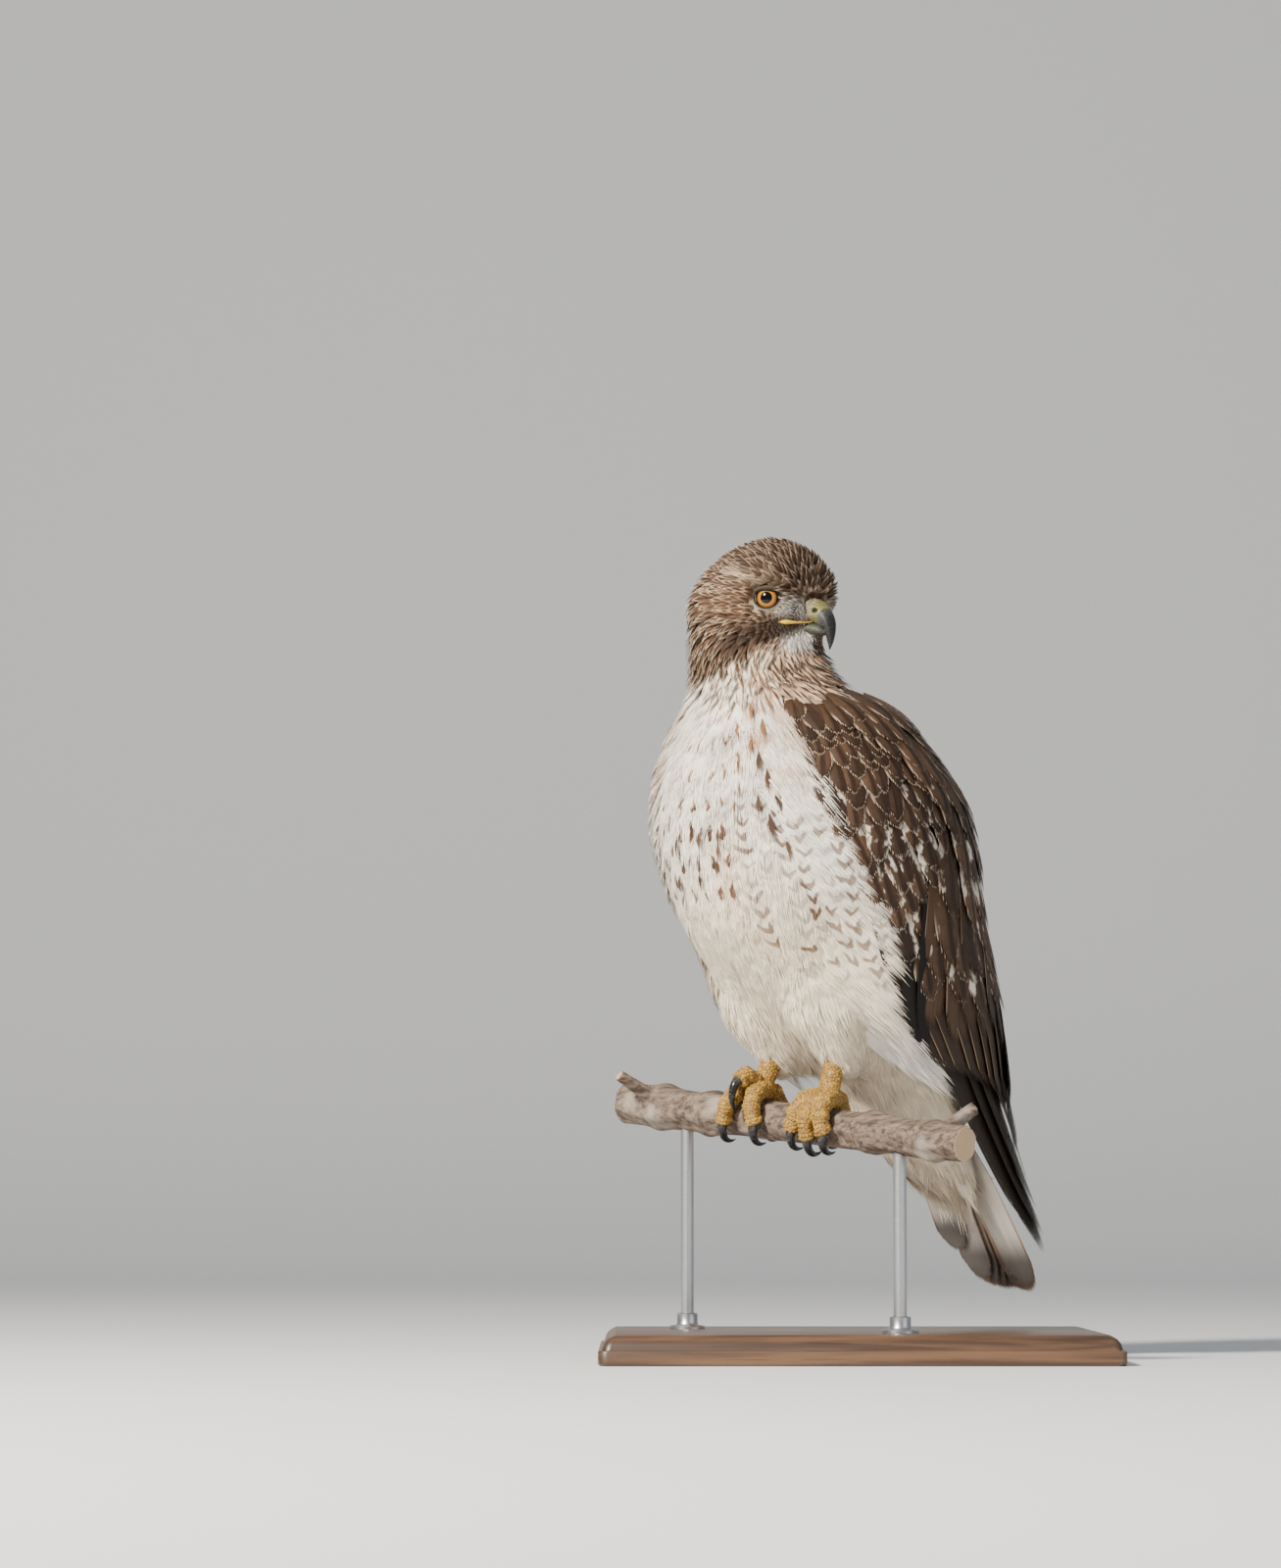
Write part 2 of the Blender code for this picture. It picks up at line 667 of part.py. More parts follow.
def perch():
    """The cut branch, with its swellings and the stubs of two twigs."""
    half = PERCH_LENGTH / 2
    alongs = np.linspace(-half, half, 24)
    radii = []
    for along in alongs:
        swell = sum(KNOT_SWELL * math.exp(-(((along - knot) / KNOT_REACH) ** 2)) for knot in KNOTS)
        radii.append(PERCH_RADIUS - along / half + swell)
    made = tube("perch", [perch_point(along, 0, 0) for along in alongs], radii, bark)
    stubs = []
    for along, angle, lean, length in TWIGS:
        ends = [round_perch(along, angle, 4), round_perch(along + lean, angle, PERCH_RADIUS + length)]
        stubs.append(tube("stub", ends, TWIG_RADII, bark))
    combine(made, "UNION", stubs)
    return made


def toe_path(side, toe, lifted):
    """The middle line of a toe and of its talon."""
    number, first, last, drift, spread = toe
    along = side * FOOT_ALONG
    if lifted:
        toe_line = [perch_point(along, *spot) for spot in LIFTED_TOE]
        talon_line = [perch_point(along - 1, *spot) for spot in LIFTED_TALON]
        return smooth_path(toe_line, TOE_SECTIONS), smooth_path(talon_line, TALON_SECTIONS)
    toe_line, talon_line = [], []
    for share in np.linspace(0, 1, TOE_SECTIONS):
        radius = PERCH_RADIUS + np.interp(share, (0, 1), TOE_RADIUS) + TOE_ARCH * math.sin(math.pi * share)
        place = along + side * (drift + (spread - drift) * share)
        toe_line.append(round_perch(place, first + (last - first) * share, radius + 0.3))
    sweep = math.copysign(TALON_ANGLE, last)
    for share in np.linspace(0, 1, TALON_SECTIONS):
        radius = PERCH_RADIUS + TALON_START + TALON_BEND * math.sin(math.pi * share) - TALON_DROP * share
        angle = last - math.copysign(5, last) + sweep * share
        talon_line.append(round_perch(along + side * spread, angle, radius))
    return toe_line, talon_line


def foot(name, side, perch_clearance, thigh_clearance):
    """One foot with its bare shank, and its four talons as pieces of their own."""
    pad = round_perch(side * FOOT_ALONG, 0, PERCH_RADIUS + PAD_HEIGHT)
    top = Vector((TARSUS_TOP[0], side * TARSUS_TOP[1], TARSUS_TOP[2]))
    shank = tube(name, [top, top.lerp(pad, 0.5), pad], [TARSUS_RADIUS] * 3, foot_skin)
    pieces = [ball("pad", pad, PAD_SIZE, foot_skin, 12, 7)]
    talons, clearances = [], [perch_clearance, thigh_clearance]
    for toe in TOES:
        toe_line, talon_line = toe_path(side, toe, side < 0 and toe[0] == 3)
        thickness = np.linspace(*TOE_RADIUS, len(toe_line))
        thickness[-2] += TOE_END_SWELL
        pieces.append(tube("toe", toe_line, thickness, foot_skin))
        radii = np.interp(np.linspace(0, 1, TALON_SECTIONS), (0, 0.6, 1), TALON_RADIUS)
        talon = tube(f"talon_{name.split('_')[1]}_{toe[0]}", talon_line, radii, talon_horn)
        clearances.append(grown(talon))
        talons.append(talon)
    combine(shank, "UNION", pieces)
    combine(shank, "DIFFERENCE", clearances)
    return shank, talons


def stand_base():
    """The flat wooden base, with its edges rounded."""
    bpy.ops.mesh.primitive_cube_add(size=1)
    base = bpy.context.object
    base.name = "stand_base"
    size = Vector(BASE_SIZE) * MM
    base.data.transform(Matrix.Translation((0, 0, size.z / 2)) @ Matrix.Diagonal((*size, 1)))
    base.data.materials.append(stand_wood)
    for holder in list(base.users_collection):
        holder.objects.unlink(base)
    hawk_collection.objects.link(base)
    rounding = base.modifiers.new("rounded edges", "BEVEL")
    rounding.width = 4 * MM
    rounding.segments = 2
    return base


def stand_rod(name, along, perch_clearance):
    """A steel rod from the base up to the underside of the perch."""
    foot_level = BASE_SIZE[2] + TOUCH_GAP
    top = perch_point(along, 0, 0)
    height = top.z - foot_level
    bpy.ops.mesh.primitive_cylinder_add(vertices=24, radius=ROD_RADIUS * MM, depth=height * MM)
    rod = bpy.context.object
    rod.name = name
    rod.data.transform(Matrix.Translation(Vector((top.x, top.y, foot_level + height / 2)) * MM))
    rod.data.materials.append(stand_steel)
    for holder in list(rod.users_collection):
        holder.objects.unlink(rod)
    hawk_collection.objects.link(rod)
    combine(rod, "DIFFERENCE", [perch_clearance])
    return rod


for leftover in list(bpy.data.objects):
    bpy.data.objects.remove(leftover)
hawk_collection = bpy.data.collections.new("red_tailed_hawk")
bpy.context.scene.collection.children.link(hawk_collection)

feather_brown = material("feather_brown", (0.13, 0.085, 0.055), 0.75)
feather_white = material("feather_white", (0.72, 0.66, 0.57), 0.85)
head_feather = material("head_feather", (0.30, 0.18, 0.10), 0.8)
cere_skin = material("cere", (0.62, 0.60, 0.22), 0.5)
beak_horn = material("beak", (0.05, 0.055, 0.065), 0.35)
eye_gloss = material("eye", (0.55, 0.25, 0.04), 0.1)
foot_skin = material("foot", (0.72, 0.50, 0.12), 0.6)
talon_horn = material("talon", (0.015, 0.014, 0.014), 0.3)
bark = material("bark", (0.20, 0.15, 0.12), 0.9)
stand_wood = material("stand_wood", (0.10, 0.06, 0.035), 0.45)
stand_steel = material("stand_steel", (0.55, 0.55, 0.56), 0.3, 1.0)

torso = body_length("torso", TAIL_BASE, NECK_BASE, BODY_STEP, feather_white)
neck = body_length("neck", NECK_BASE + TOUCH_GAP, BODY_STATIONS[-1][0], NECK_STEP, head_feather)
bird = [torso, neck]
tail_piece = tail()
bird.append(tail_piece)

head_frame = Matrix.Translation(Vector(HEAD_PLACE) * MM) @ Matrix.Rotation(HEAD_TURN, 4, "Z")
skull = head()
cere_piece = cere()
upper = beak_upper()
lower = beak_lower()
eyes = []
for word, side in (("left", 1), ("right", -1)):
    place = (EYE_MIDDLE[0], side * EYE_MIDDLE[1], EYE_MIDDLE[2])
    eyes.append(ball(f"eye_{word}", place, [EYE_RADIUS] * 3, eye_gloss, 14, 9))
for piece in (skull, cere_piece, upper, lower, *eyes):
    piece.data.transform(head_frame)
combine(neck, "DIFFERENCE", [grown(skull), grown(cere_piece), *(grown(eye, SOCKET_ROOM) for eye in eyes)])
combine(lower, "DIFFERENCE", [grown(cere_piece), grown(upper)])
combine(skull, "DIFFERENCE", [grown(piece) for piece in (cere_piece, upper, lower, *eyes)])
bird += [skull, cere_piece, upper, lower, *eyes]

perch_piece = perch()
bird.append(perch_piece)
for word, side in (("left", 1), ("right", -1)):
    leg = thigh(f"thigh_{word}", side)
    wing_piece = wing(f"wing_{word}", side)
    foot_piece, talons = foot(f"foot_{word}", side, grown(perch_piece), grown(leg))
    combine(wing_piece, "DIFFERENCE", [grown(torso), grown(leg), grown(tail_piece)])
    combine(leg, "DIFFERENCE", [grown(torso)])
    bird += [leg, wing_piece, foot_piece, *talons]
for word, along in (("left", ROD_ALONG), ("right", -ROD_ALONG)):
    bird.append(stand_rod(f"stand_rod_{word}", along, grown(perch_piece)))

hawk = bpy.data.objects.new("hawk", None)
hawk_collection.objects.link(hawk)
hawk.rotation_euler = (0, 0, BIRD_HEADING)
hawk.location = Vector(BIRD_PLACE) * MM
for piece in bird:
    piece.parent = hawk
stand_base()
for piece in hawk_collection.objects:
    if piece.type == "MESH":
        piece.data.shade_smooth()
        piece.data.set_sharp_from_angle(angle=math.radians(40))
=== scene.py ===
import math

import bmesh
import bpy
import numpy as np
from mathutils import Matrix, Vector
from mathutils.bvhtree import BVHTree
from mathutils.kdtree import KDTree


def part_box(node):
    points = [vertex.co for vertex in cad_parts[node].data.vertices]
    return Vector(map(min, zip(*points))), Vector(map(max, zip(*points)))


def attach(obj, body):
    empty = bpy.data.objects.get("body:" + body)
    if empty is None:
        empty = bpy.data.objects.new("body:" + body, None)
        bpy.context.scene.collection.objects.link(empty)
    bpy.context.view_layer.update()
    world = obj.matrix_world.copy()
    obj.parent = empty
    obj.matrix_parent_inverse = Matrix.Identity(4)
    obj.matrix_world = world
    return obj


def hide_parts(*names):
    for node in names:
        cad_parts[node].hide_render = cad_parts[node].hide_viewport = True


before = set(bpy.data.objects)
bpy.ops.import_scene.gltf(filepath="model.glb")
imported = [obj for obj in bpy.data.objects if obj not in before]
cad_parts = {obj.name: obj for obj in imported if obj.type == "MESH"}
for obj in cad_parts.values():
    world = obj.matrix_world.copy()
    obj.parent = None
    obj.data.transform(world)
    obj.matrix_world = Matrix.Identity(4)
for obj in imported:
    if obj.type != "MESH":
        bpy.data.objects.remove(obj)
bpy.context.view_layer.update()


# --- The body under its feathers ---
# A hawk's skin is thin and pale, drawn over the breast muscle, the neck and the skull. Here it is
# one surface from the face to the root of the tail, and every small feather is rooted in it.

MM = 0.001
BIRD_TURN = np.array(Matrix.Rotation(math.radians(220), 3, "Z"))
BIRD_PLACE = np.array((0, 13, 0))
HEAD_TURN = np.array(Matrix.Rotation(math.radians(92), 3, "Z"))
HEAD_PLACE = np.array((67, 11, 460.2))

# Body stations: height, middle X, middle Y, reach to the front, reach to the back, half width
BODY_STATIONS = (
    (100, -80, 0, 14, 12, 17),
    (115, -70, 0, 29, 22, 28),
    (130, -60, 0, 40, 30, 34),
    (148, -48, 0, 44, 41, 40),
    (172, -32, 0, 50, 47, 50),
    (196, -16, 0, 64, 59, 60),
    (222, -2, 0, 82, 79, 70),
    (250, 16, 0, 96, 87, 79),
    (298, 34, 0, 99, 93, 85),
    (346, 44, 0, 92, 88, 82),
    (370, 50, 0, 80.5, 71, 76),
    (394, 58, 0, 63, 47, 64),
    (412, 67, -1, 49, 45, 50),
    (430, 76, -3, 42, 43, 42),
    (445, 77, -3, 37, 42, 40),
    (463, 70, 2, 8, 10, 8),
)
FLESH_NODES = ("head", "neck", "torso", "thigh_left", "thigh_right")
RUMP_LOW, RUMP_HIGH = 106, 170
SKIN_VOXEL = 1.8
SIDES = (("left", 1), ("right", -1))
SEAM_ROOM = 0.5  # how far each part swells so that its neighbour joins it
COAT_DEPTH = {"face": 0.9, "head": 2.6, "neck": 5.5, "body": 7.5, "thigh": 6}


def in_room(points):
    """Places in the bird's frame, in millimetres, as metres in the room."""
    return (np.asarray(points, float) @ BIRD_TURN.T + BIRD_PLACE) * MM


def in_bird(points):
    """Places in the room as millimetres in the bird's frame."""
    return (np.asarray(points, float) / MM - BIRD_PLACE) @ BIRD_TURN


def from_head(points):
    """Places in the head's frame, as places in the bird's."""
    return np.asarray(points, float) @ HEAD_TURN.T + HEAD_PLACE


def in_head(points):
    """Places in the bird's frame, as places in the head's."""
    return (np.asarray(points, float) - HEAD_PLACE) @ HEAD_TURN


def smooth(rows, at):
    """The columns of a table at many keys, on cubic curves through its rows."""
    rows = np.array(rows, float)
    keys, values = rows[:, 0], rows[:, 1:]
    slopes = np.gradient(values, keys, axis=0)
    at = np.clip(np.atleast_1d(at), keys[0], keys[-1])
    i = np.clip(np.searchsorted(keys, at) - 1, 0, len(keys) - 2)
    span = (keys[i + 1] - keys[i])[:, None]
    t = (at - keys[i])[:, None] / span
    start = (2 * t**3 - 3 * t**2 + 1) * values[i] + (t**3 - 2 * t**2 + t) * span * slopes[i]
    end = (3 * t**2 - 2 * t**3) * values[i + 1] + (t**3 - t**2) * span * slopes[i + 1]
    return start + end


def ease(low, high, value):
    """0 below low, 1 above high, and a smooth step between."""
    share = np.clip((np.asarray(value, float) - low) / (high - low), 0, 1)
    return share * share * (3 - 2 * share)


def unit(vectors):
    """The vectors, each one long."""
    return vectors / np.maximum(np.linalg.norm(vectors, axis=-1, keepdims=True), 1e-9)


def placed(name, mesh):
    """A new object in the scene."""
    made = bpy.data.objects.new(name, mesh)
    bpy.context.scene.collection.objects.link(made)
    return made


def solid(name, points, faces):
    """A mesh object from places in the bird's frame."""
    mesh = bpy.data.meshes.new(name)
    mesh.from_pydata(in_room(points).tolist(), [], faces)
    return placed(name, mesh)


def circle(count):
    """Angles evenly round a full turn."""
    return np.linspace(0, 2 * math.pi, count, endpoint=False)


def ring_faces(rings, sides):
    """The faces of a closed loft through rings of equally many points, with its two caps."""
    faces = []
    for low in range(rings - 1):
        for i in range(sides):
            j = (i + 1) % sides
            faces.append((low * sides + i, low * sides + j, (low + 1) * sides + j, (low + 1) * sides + i))
    faces.append(tuple(reversed(range(sides))))
    faces.append(tuple((rings - 1) * sides + i for i in range(sides)))
    return faces


def side_faces(rings, sides):
    """The same loft's faces without its caps."""
    return ring_faces(rings, sides)[:-2]


def plain_mesh(made):
    """Applies the object's modifiers, so that a plain mesh is left."""
    graph = bpy.context.evaluated_depsgraph_get()
    mesh = bpy.data.meshes.new_from_object(made.evaluated_get(graph), depsgraph=graph)
    made.modifiers.clear()
    old = made.data
    made.data = mesh
    bpy.data.meshes.remove(old)


def one_surface(made, voxel, rounds):
    """Runs an object's parts together into one surface, and relaxes it."""
    remesh = made.modifiers.new("one surface", "REMESH")
    remesh.mode = "VOXEL"
    remesh.voxel_size = voxel * MM
    made.modifiers.new("relaxed", "SMOOTH").iterations = rounds
    plain_mesh(made)
    made.data.materials.clear()


def body_skin():
    """The parts of flesh run together into one surface, still out at the tips of the feathers."""
    joined = bmesh.new()
    for node in FLESH_NODES:
        part = bmesh.new()
        part.from_mesh(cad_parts[node].data)
        bmesh.ops.remove_doubles(part, verts=part.verts, dist=1e-5)
        part.normal_update()
        for vertex in part.verts:
            vertex.co += vertex.normal * SEAM_ROOM * MM
        mesh = bpy.data.meshes.new(node)
        part.to_mesh(mesh)
        part.free()
        joined.from_mesh(mesh)
        bpy.data.meshes.remove(mesh)
    rings = []
    turns = circle(40)
    heights = np.linspace(RUMP_LOW, RUMP_HIGH, 10)
    for height, (x, y, front, back, width) in zip(heights, smooth(BODY_STATIONS, heights)):
        reach = np.where(np.cos(turns) > 0, front, back)
        ring = (x + reach * np.cos(turns), y + width * np.sin(turns), np.full(len(turns), height))
        rings.append(np.stack(ring, 1))
    rump = solid("rump", np.concatenate(rings), ring_faces(len(rings), len(turns)))
    joined.from_mesh(rump.data)
    bpy.data.objects.remove(rump)
    mesh = bpy.data.meshes.new("skin")
    joined.to_mesh(mesh)
    joined.free()
    made = placed("skin", mesh)
    one_surface(made, SKIN_VOXEL, 3)
    return made


def mesh_arrays(mesh):
    """A mesh's points in the bird's frame and its outward normals there."""
    count = len(mesh.vertices)
    points = np.empty(count * 3)
    mesh.vertices.foreach_get("co", points)
    normals = np.empty(count * 3)
    mesh.vertex_normals.foreach_get("vector", normals)
    return in_bird(points.reshape(-1, 3)), normals.reshape(-1, 3) @ BIRD_TURN


def on_head(points):
    """1 on the head, 0 on the neck and body."""
    return ease(424, 446, points[:, 2] + 0.25 * np.clip(in_head(points)[:, 0], -60, 40))


def coat_depth(points):
    """How deep the feathers lie over the skin."""
    above_neck = on_head(points)
    on_face = ease(8, 24, in_head(points)[:, 0]) * above_neck
    on_body = 1 - ease(395, 420, points[:, 2])
    on_thigh = on_body * (1 - ease(215, 250, points[:, 2])) * ease(0, 20, points[:, 0])
    depth = COAT_DEPTH["neck"] + (COAT_DEPTH["body"] - COAT_DEPTH["neck"]) * on_body
    depth = depth + (COAT_DEPTH["thigh"] - depth) * on_thigh
    depth = depth + (COAT_DEPTH["head"] - depth) * above_neck
    return depth + (COAT_DEPTH["face"] - depth) * on_face


def relax_thighs(mesh, rounds):
    """Evens out the crease where the thighs run into the belly."""
    points, _ = mesh_arrays(mesh)
    edges = np.empty(len(mesh.edges) * 2, int)
    mesh.edges.foreach_get("vertices", edges)
    start, end = edges.reshape(-1, 2).T
    share = ease(168, 200, points[:, 2]) * ease(275, 250, points[:, 2]) * ease(-20, 10, points[:, 0])
    count = np.bincount(np.concatenate((start, end)), minlength=len(points))
    for _ in range(rounds):
        total = np.stack([
            np.bincount(start, points[end, k], len(points)) + np.bincount(end, points[start, k], len(points))
            for k in range(3)
        ], 1)
        points = points + (total / count[:, None] - points) * (0.8 * share)[:, None]
    mesh.vertices.foreach_set("co", in_room(points).ravel())
    mesh.update()


skin = body_skin()
skin_points, skin_normals = mesh_arrays(skin.data)
skin_points = skin_points - skin_normals * (coat_depth(skin_points) + SEAM_ROOM)[:, None]
skin.data.vertices.foreach_set("co", in_room(skin_points).ravel())
skin.data.update()
relax_thighs(skin.data, 60)
skin.data.shade_smooth()
skin_points, skin_normals = mesh_arrays(skin.data)
skin.data.calc_loop_triangles()
skin_triangles = np.empty(len(skin.data.loop_triangles) * 3, int)
skin.data.loop_triangles.foreach_get("vertices", skin_triangles)
skin_triangles = skin_triangles.reshape(-1, 3)
skin_tree = BVHTree.FromPolygons(skin_points.tolist(), skin_triangles.tolist())


# --- The colours of the plumage ---
# Melanin makes the browns and the rufous, and the white feathers have none. Each small feather has
# its own middle, rim and streak, and the skin under them carries the same pattern.

CHOCOLATE = (0.030, 0.015, 0.008)
DARK_BROWN = (0.065, 0.033, 0.017)
MID_BROWN = (0.15, 0.080, 0.042)
TAN = (0.50, 0.29, 0.15)
BUFF = (0.68, 0.50, 0.31)
CREAM = (0.84, 0.73, 0.56)
WHITE = (0.88, 0.84, 0.78)
GREY_WHITE = (0.60, 0.57, 0.53)


def patch(points, middle, radii):
    """1 at a place and less away from it, over an egg of these radii."""
    away = (points - np.array(middle)) / np.array(radii)
    return np.exp(-np.sum(away**2, axis=1))


def tinted(base, colour, share):
    """Colours drawn towards another one, by a share for each place."""
    share = np.reshape(np.clip(share, 0, 1), (-1, 1))
    return np.array(base) * (1 - share) + np.array(colour) * share


def either_side(head):
    """Places in the head's frame, those on its right moved over to its left."""
    return np.stack((head[:, 0], np.abs(head[:, 1]), head[:, 2]), 1)


def stripe(points, line, radius):
    """1 along a broken line and less away from it."""
    nearest = np.full(len(points), 1e9)
    for start, end in zip(line, line[1:]):
        start, way = np.array(start, float), np.array(end, float) - np.array(start, float)
        along = np.clip((points - start) @ way / np.sum(way**2), 0, 1)
        nearest = np.minimum(nearest, np.linalg.norm(points - start - along[:, None] * way, axis=1))
    return np.exp(-((nearest / radius) ** 2))


def round_body(points):
    """The angle round the body's middle line, in degrees, from straight ahead to its left."""
    rows = smooth(BODY_STATIONS, points[:, 2])
    return np.degrees(np.arctan2(points[:, 1] - rows[:, 1], points[:, 0] - rows[:, 0]))


def wobble(points, size):
    """A smooth uneven number from about -1 to 1 at each place, made of waves so many mm long."""
    x, y, z = points.T * (2 * math.pi / size)
    first = np.sin(x + 1.7 * np.sin(0.7 * y))
    second = np.sin(1.1 * y + 2.1 * np.sin(0.6 * z))
    return (first + second + np.sin(0.9 * z + 1.3 * np.sin(0.8 * x))) / 3


# How low the brown of the head and neck comes: angle round the body, height
BROWN_LINE = (
    (-180, 380), (-110, 388), (-60, 398), (-40, 401), (-10, 402), (12, 404), (25, 408), (35, 412), (47, 417),
    (60, 425), (72, 432), (80, 429), (88, 419), (95, 409), (107, 402), (120, 394), (140, 386), (180, 380),
)
# The dark moustache, from the gape back under the cheek, in the head's frame
MOUSTACHE_LINE = ((25, 15, -20), (22.5, 23, -20.5), (18, 31, -22.5), (12, 36, -26), (0, 42, -32))


def markings(points):
    """The middle, rim and streak colours of the feathers rooted at places on the skin.

    Also how broad the streaks are, how strong the bars across are, and how broad the rim is in
    millimetres. A streak is a share of the feather on the head and neck, and millimetres below.
    """
    height, signed = points[:, 2], round_body(points)
    angle = np.abs(signed)
    head = in_head(points)
    side = either_side(head)
    white = tinted(WHITE, CREAM, 0.75 * ease(320, 235, height) + 0.3)
    look = {"middle": white, "rim": white, "streak": np.tile((0.30, 0.15, 0.075), (len(points), 1))}

    def dye_and_shade(share, **towards):
        """Draws parts of the feathers towards new colours, by the share times each one's strength: mostly
        their own colours, and in a few places painted shade.
        """
        for part, (colour, strength) in towards.items():
            look[part] = tinted(look[part], colour, strength * share)

    # White breast with hair-thin rufous streaks, creamy belly, pale brown bars on the flanks
    streak_width = 0.95 * ease(300, 340, height) * ease(-30, 5, signed) * ease(403, 399, height)
    streak_width = streak_width + 0.13 * ease(399, 403, height)
    flank = np.maximum(ease(8, 30, signed), ease(-24, -46, signed))
    flank = flank * ease(228, 250, height) * ease(352, 326, height)
    bars = 0.95 * flank
    band = ease(26, 10, signed) * ease(262, 282, height) * ease(345, 318, height)
    dye_and_shade(flank, streak=((0.15, 0.072, 0.034), 1))
    dye_and_shade(band, streak=((0.10, 0.052, 0.03), 1))
    streak_width = streak_width * (1 - 0.5 * flank) * (1 - band) + 2.1 * band
    washed = patch(points, (95, 22, 292), (60, 13, 26)) * ease(5, 15, signed)
    dye_and_shade(washed, middle=((0.80, 0.55, 0.33), 0.45))
    warm = ease(22, 32, angle) * ease(80, 60, angle) * ease(352, 370, height) * ease(412, 398, height)
    warm = warm * ease(-0.25, 0.35, wobble(points, 19))
    dye_and_shade(warm, middle=((0.58, 0.31, 0.15), 0.8))
    rim_width = np.full(len(points), 0.5)

    # The brown mantle over the back
    back = ease(88, 108, angle) * ease(440, 420, height) * ease(150, 190, height)
    dye_and_shade(back, middle=(DARK_BROWN, 1), rim=(TAN, 1), streak=(CHOCOLATE, 1))
    streak_width = streak_width * (1 - back)
    bars = bars * (1 - back)

    # The neck and the head: dark middles and tan rims, down to an uneven line on the throat
    line = np.interp(signed, *np.array(BROWN_LINE).T) + 5 * wobble(points, 9)
    brown = ease(-3, 5, height - line)
    dye_and_shade(brown, middle=((0.105, 0.054, 0.028), 1), rim=((0.80, 0.60, 0.41), 1), streak=(CHOCOLATE, 1))
    streak_width = streak_width + (0.4 - streak_width) * brown
    rim_width = rim_width + 0.75 * brown
    edge_of_brown = ease(-14, -2, height - line) * (1 - brown) * ease(396, 402, height)
    dye_and_shade(edge_of_brown, middle=(CREAM, 0.7), streak=((0.20, 0.11, 0.06), 1))
    streak_width = streak_width + 0.4 * edge_of_brown * ease(-0.3, 0.2, wobble(points, 7))
    patchy = ease(38, 52, signed + 8 * wobble(points, 11)) * ease(436, 426, height) * ease(384, 392, height)
    dye_and_shade(patchy, middle=((0.56, 0.36, 0.23), 0.9), rim=((0.82, 0.68, 0.50), 1), streak=(DARK_BROWN, 1))
    rim_width = rim_width + 0.5 * patchy * (1 - brown)
    streak_width = streak_width + 0.3 * patchy * (1 - brown)
    # The hindneck's own dark brown, darkened further as painted shade behind the head
    hind = (ease(98, 116, signed) + ease(-60, -80, signed)) * ease(446, 432, height) * ease(378, 398, height)
    dye_and_shade(hind, middle=(CHOCOLATE, 0.9), rim=((0.26, 0.15, 0.08), 0.8))
    crown = ease(2, 14, head[:, 2] - 0.35 * np.clip(-head[:, 0], 0, 40)) * brown
    dye_and_shade(crown, middle=((0.052, 0.027, 0.015), 0.9), rim=((0.70, 0.50, 0.34), 1))
    rim_width = rim_width - 0.28 * crown

    # The face: rufous ear coverts, pale brow and lores, dark shade over the eye and before it
    ear = patch(side, (-9, 37, -3), (16, 12, 9)) * brown
    dye_and_shade(ear, middle=((0.20, 0.10, 0.05), 0.9), rim=((0.60, 0.40, 0.25), 1), streak=((0.085, 0.042, 0.022), 1))
    streak_width = streak_width + 0.15 * ear
    brow = stripe(side, ((16, 26, 9.5), (8, 29, 10.5), (0, 31, 12), (-13, 32, 16)), 3.7) * brown
    dye_and_shade(brow, middle=((0.44, 0.31, 0.20), 1), rim=((0.76, 0.62, 0.45), 1.2), streak=((0.20, 0.11, 0.06), 1))
    streak_width = streak_width * (1 - 0.45 * brow)
    below_eye = stripe(side, ((19, 20, -9.5), (9.6, 26, -8), (2, 30, -4)), 3.6)
    dye_and_shade(below_eye, middle=((0.60, 0.48, 0.34), 1.1), rim=(CREAM, 1))
    lid_shade = stripe(side, ((-4, 33, 4), (0, 31, 5), (10, 28, 7), (19, 22, 6.5), (25, 15, 3)), 1.8)
    dye_and_shade(lid_shade, middle=((0.030, 0.017, 0.010), 1.3), rim=((0.10, 0.058, 0.032), 1.2))
    lores = patch(side, (24, 14, -8.5), (8, 8, 6.5))
    dye_and_shade(lores, middle=((0.34, 0.32, 0.28), 1.5), rim=((0.56, 0.53, 0.46), 1.5), streak=((0.12, 0.11, 0.1), 1))
    shaded = stripe(side, ((25.3, 14.6, -7), (25.3, 14.6, -13)), 2.2)
    dye_and_shade(shaded, middle=((0.10, 0.09, 0.08), 1))
    canthus = stripe(side, ((19, 20.5, 1.5), (21, 18, 1)), 1.9)
    canthus = canthus + 0.6 * stripe(side, ((21, 18, 1), (25, 14, -2)), 1.3)
    dye_and_shade(canthus, middle=((0.010, 0.008, 0.007), 1.4), rim=((0.014, 0.010, 0.009), 1.4))

    # The dark moustache and the white chin
    moustache = stripe(side, MOUSTACHE_LINE, 7.2)
    chin = stripe(side, ((26, 0, -27), (26, 8, -28), (24, 16, -31)), 6.6) * ease(112, 100, signed)
    chin = chin * (1 - 0.8 * moustache)
    dye_and_shade(moustache, middle=(CHOCOLATE, 1.9), rim=((0.13, 0.075, 0.043), 1.6))
    dye_and_shade(chin, middle=(WHITE, 1.6), rim=(WHITE, 1.6), streak=((0.30, 0.16, 0.09), 1))
    streak_width = streak_width * (1 - 0.8 * np.clip(1.5 * chin, 0, 1))
    middle = look["middle"] * (1 + 0.22 * brown * wobble(points, 13))[:, None]
    return middle, look["rim"], look["streak"], streak_width, bars, rim_width


def colour_attribute(mesh, name, colours):
    """Stores one colour for each point of a mesh."""
    if colours.shape[1] == 3:
        colours = np.concatenate((colours, np.ones((len(colours), 1))), 1)
    stored = mesh.attributes.new(name, "FLOAT_COLOR", "POINT")
    stored.data.foreach_set("color", colours.astype(np.float32).ravel())


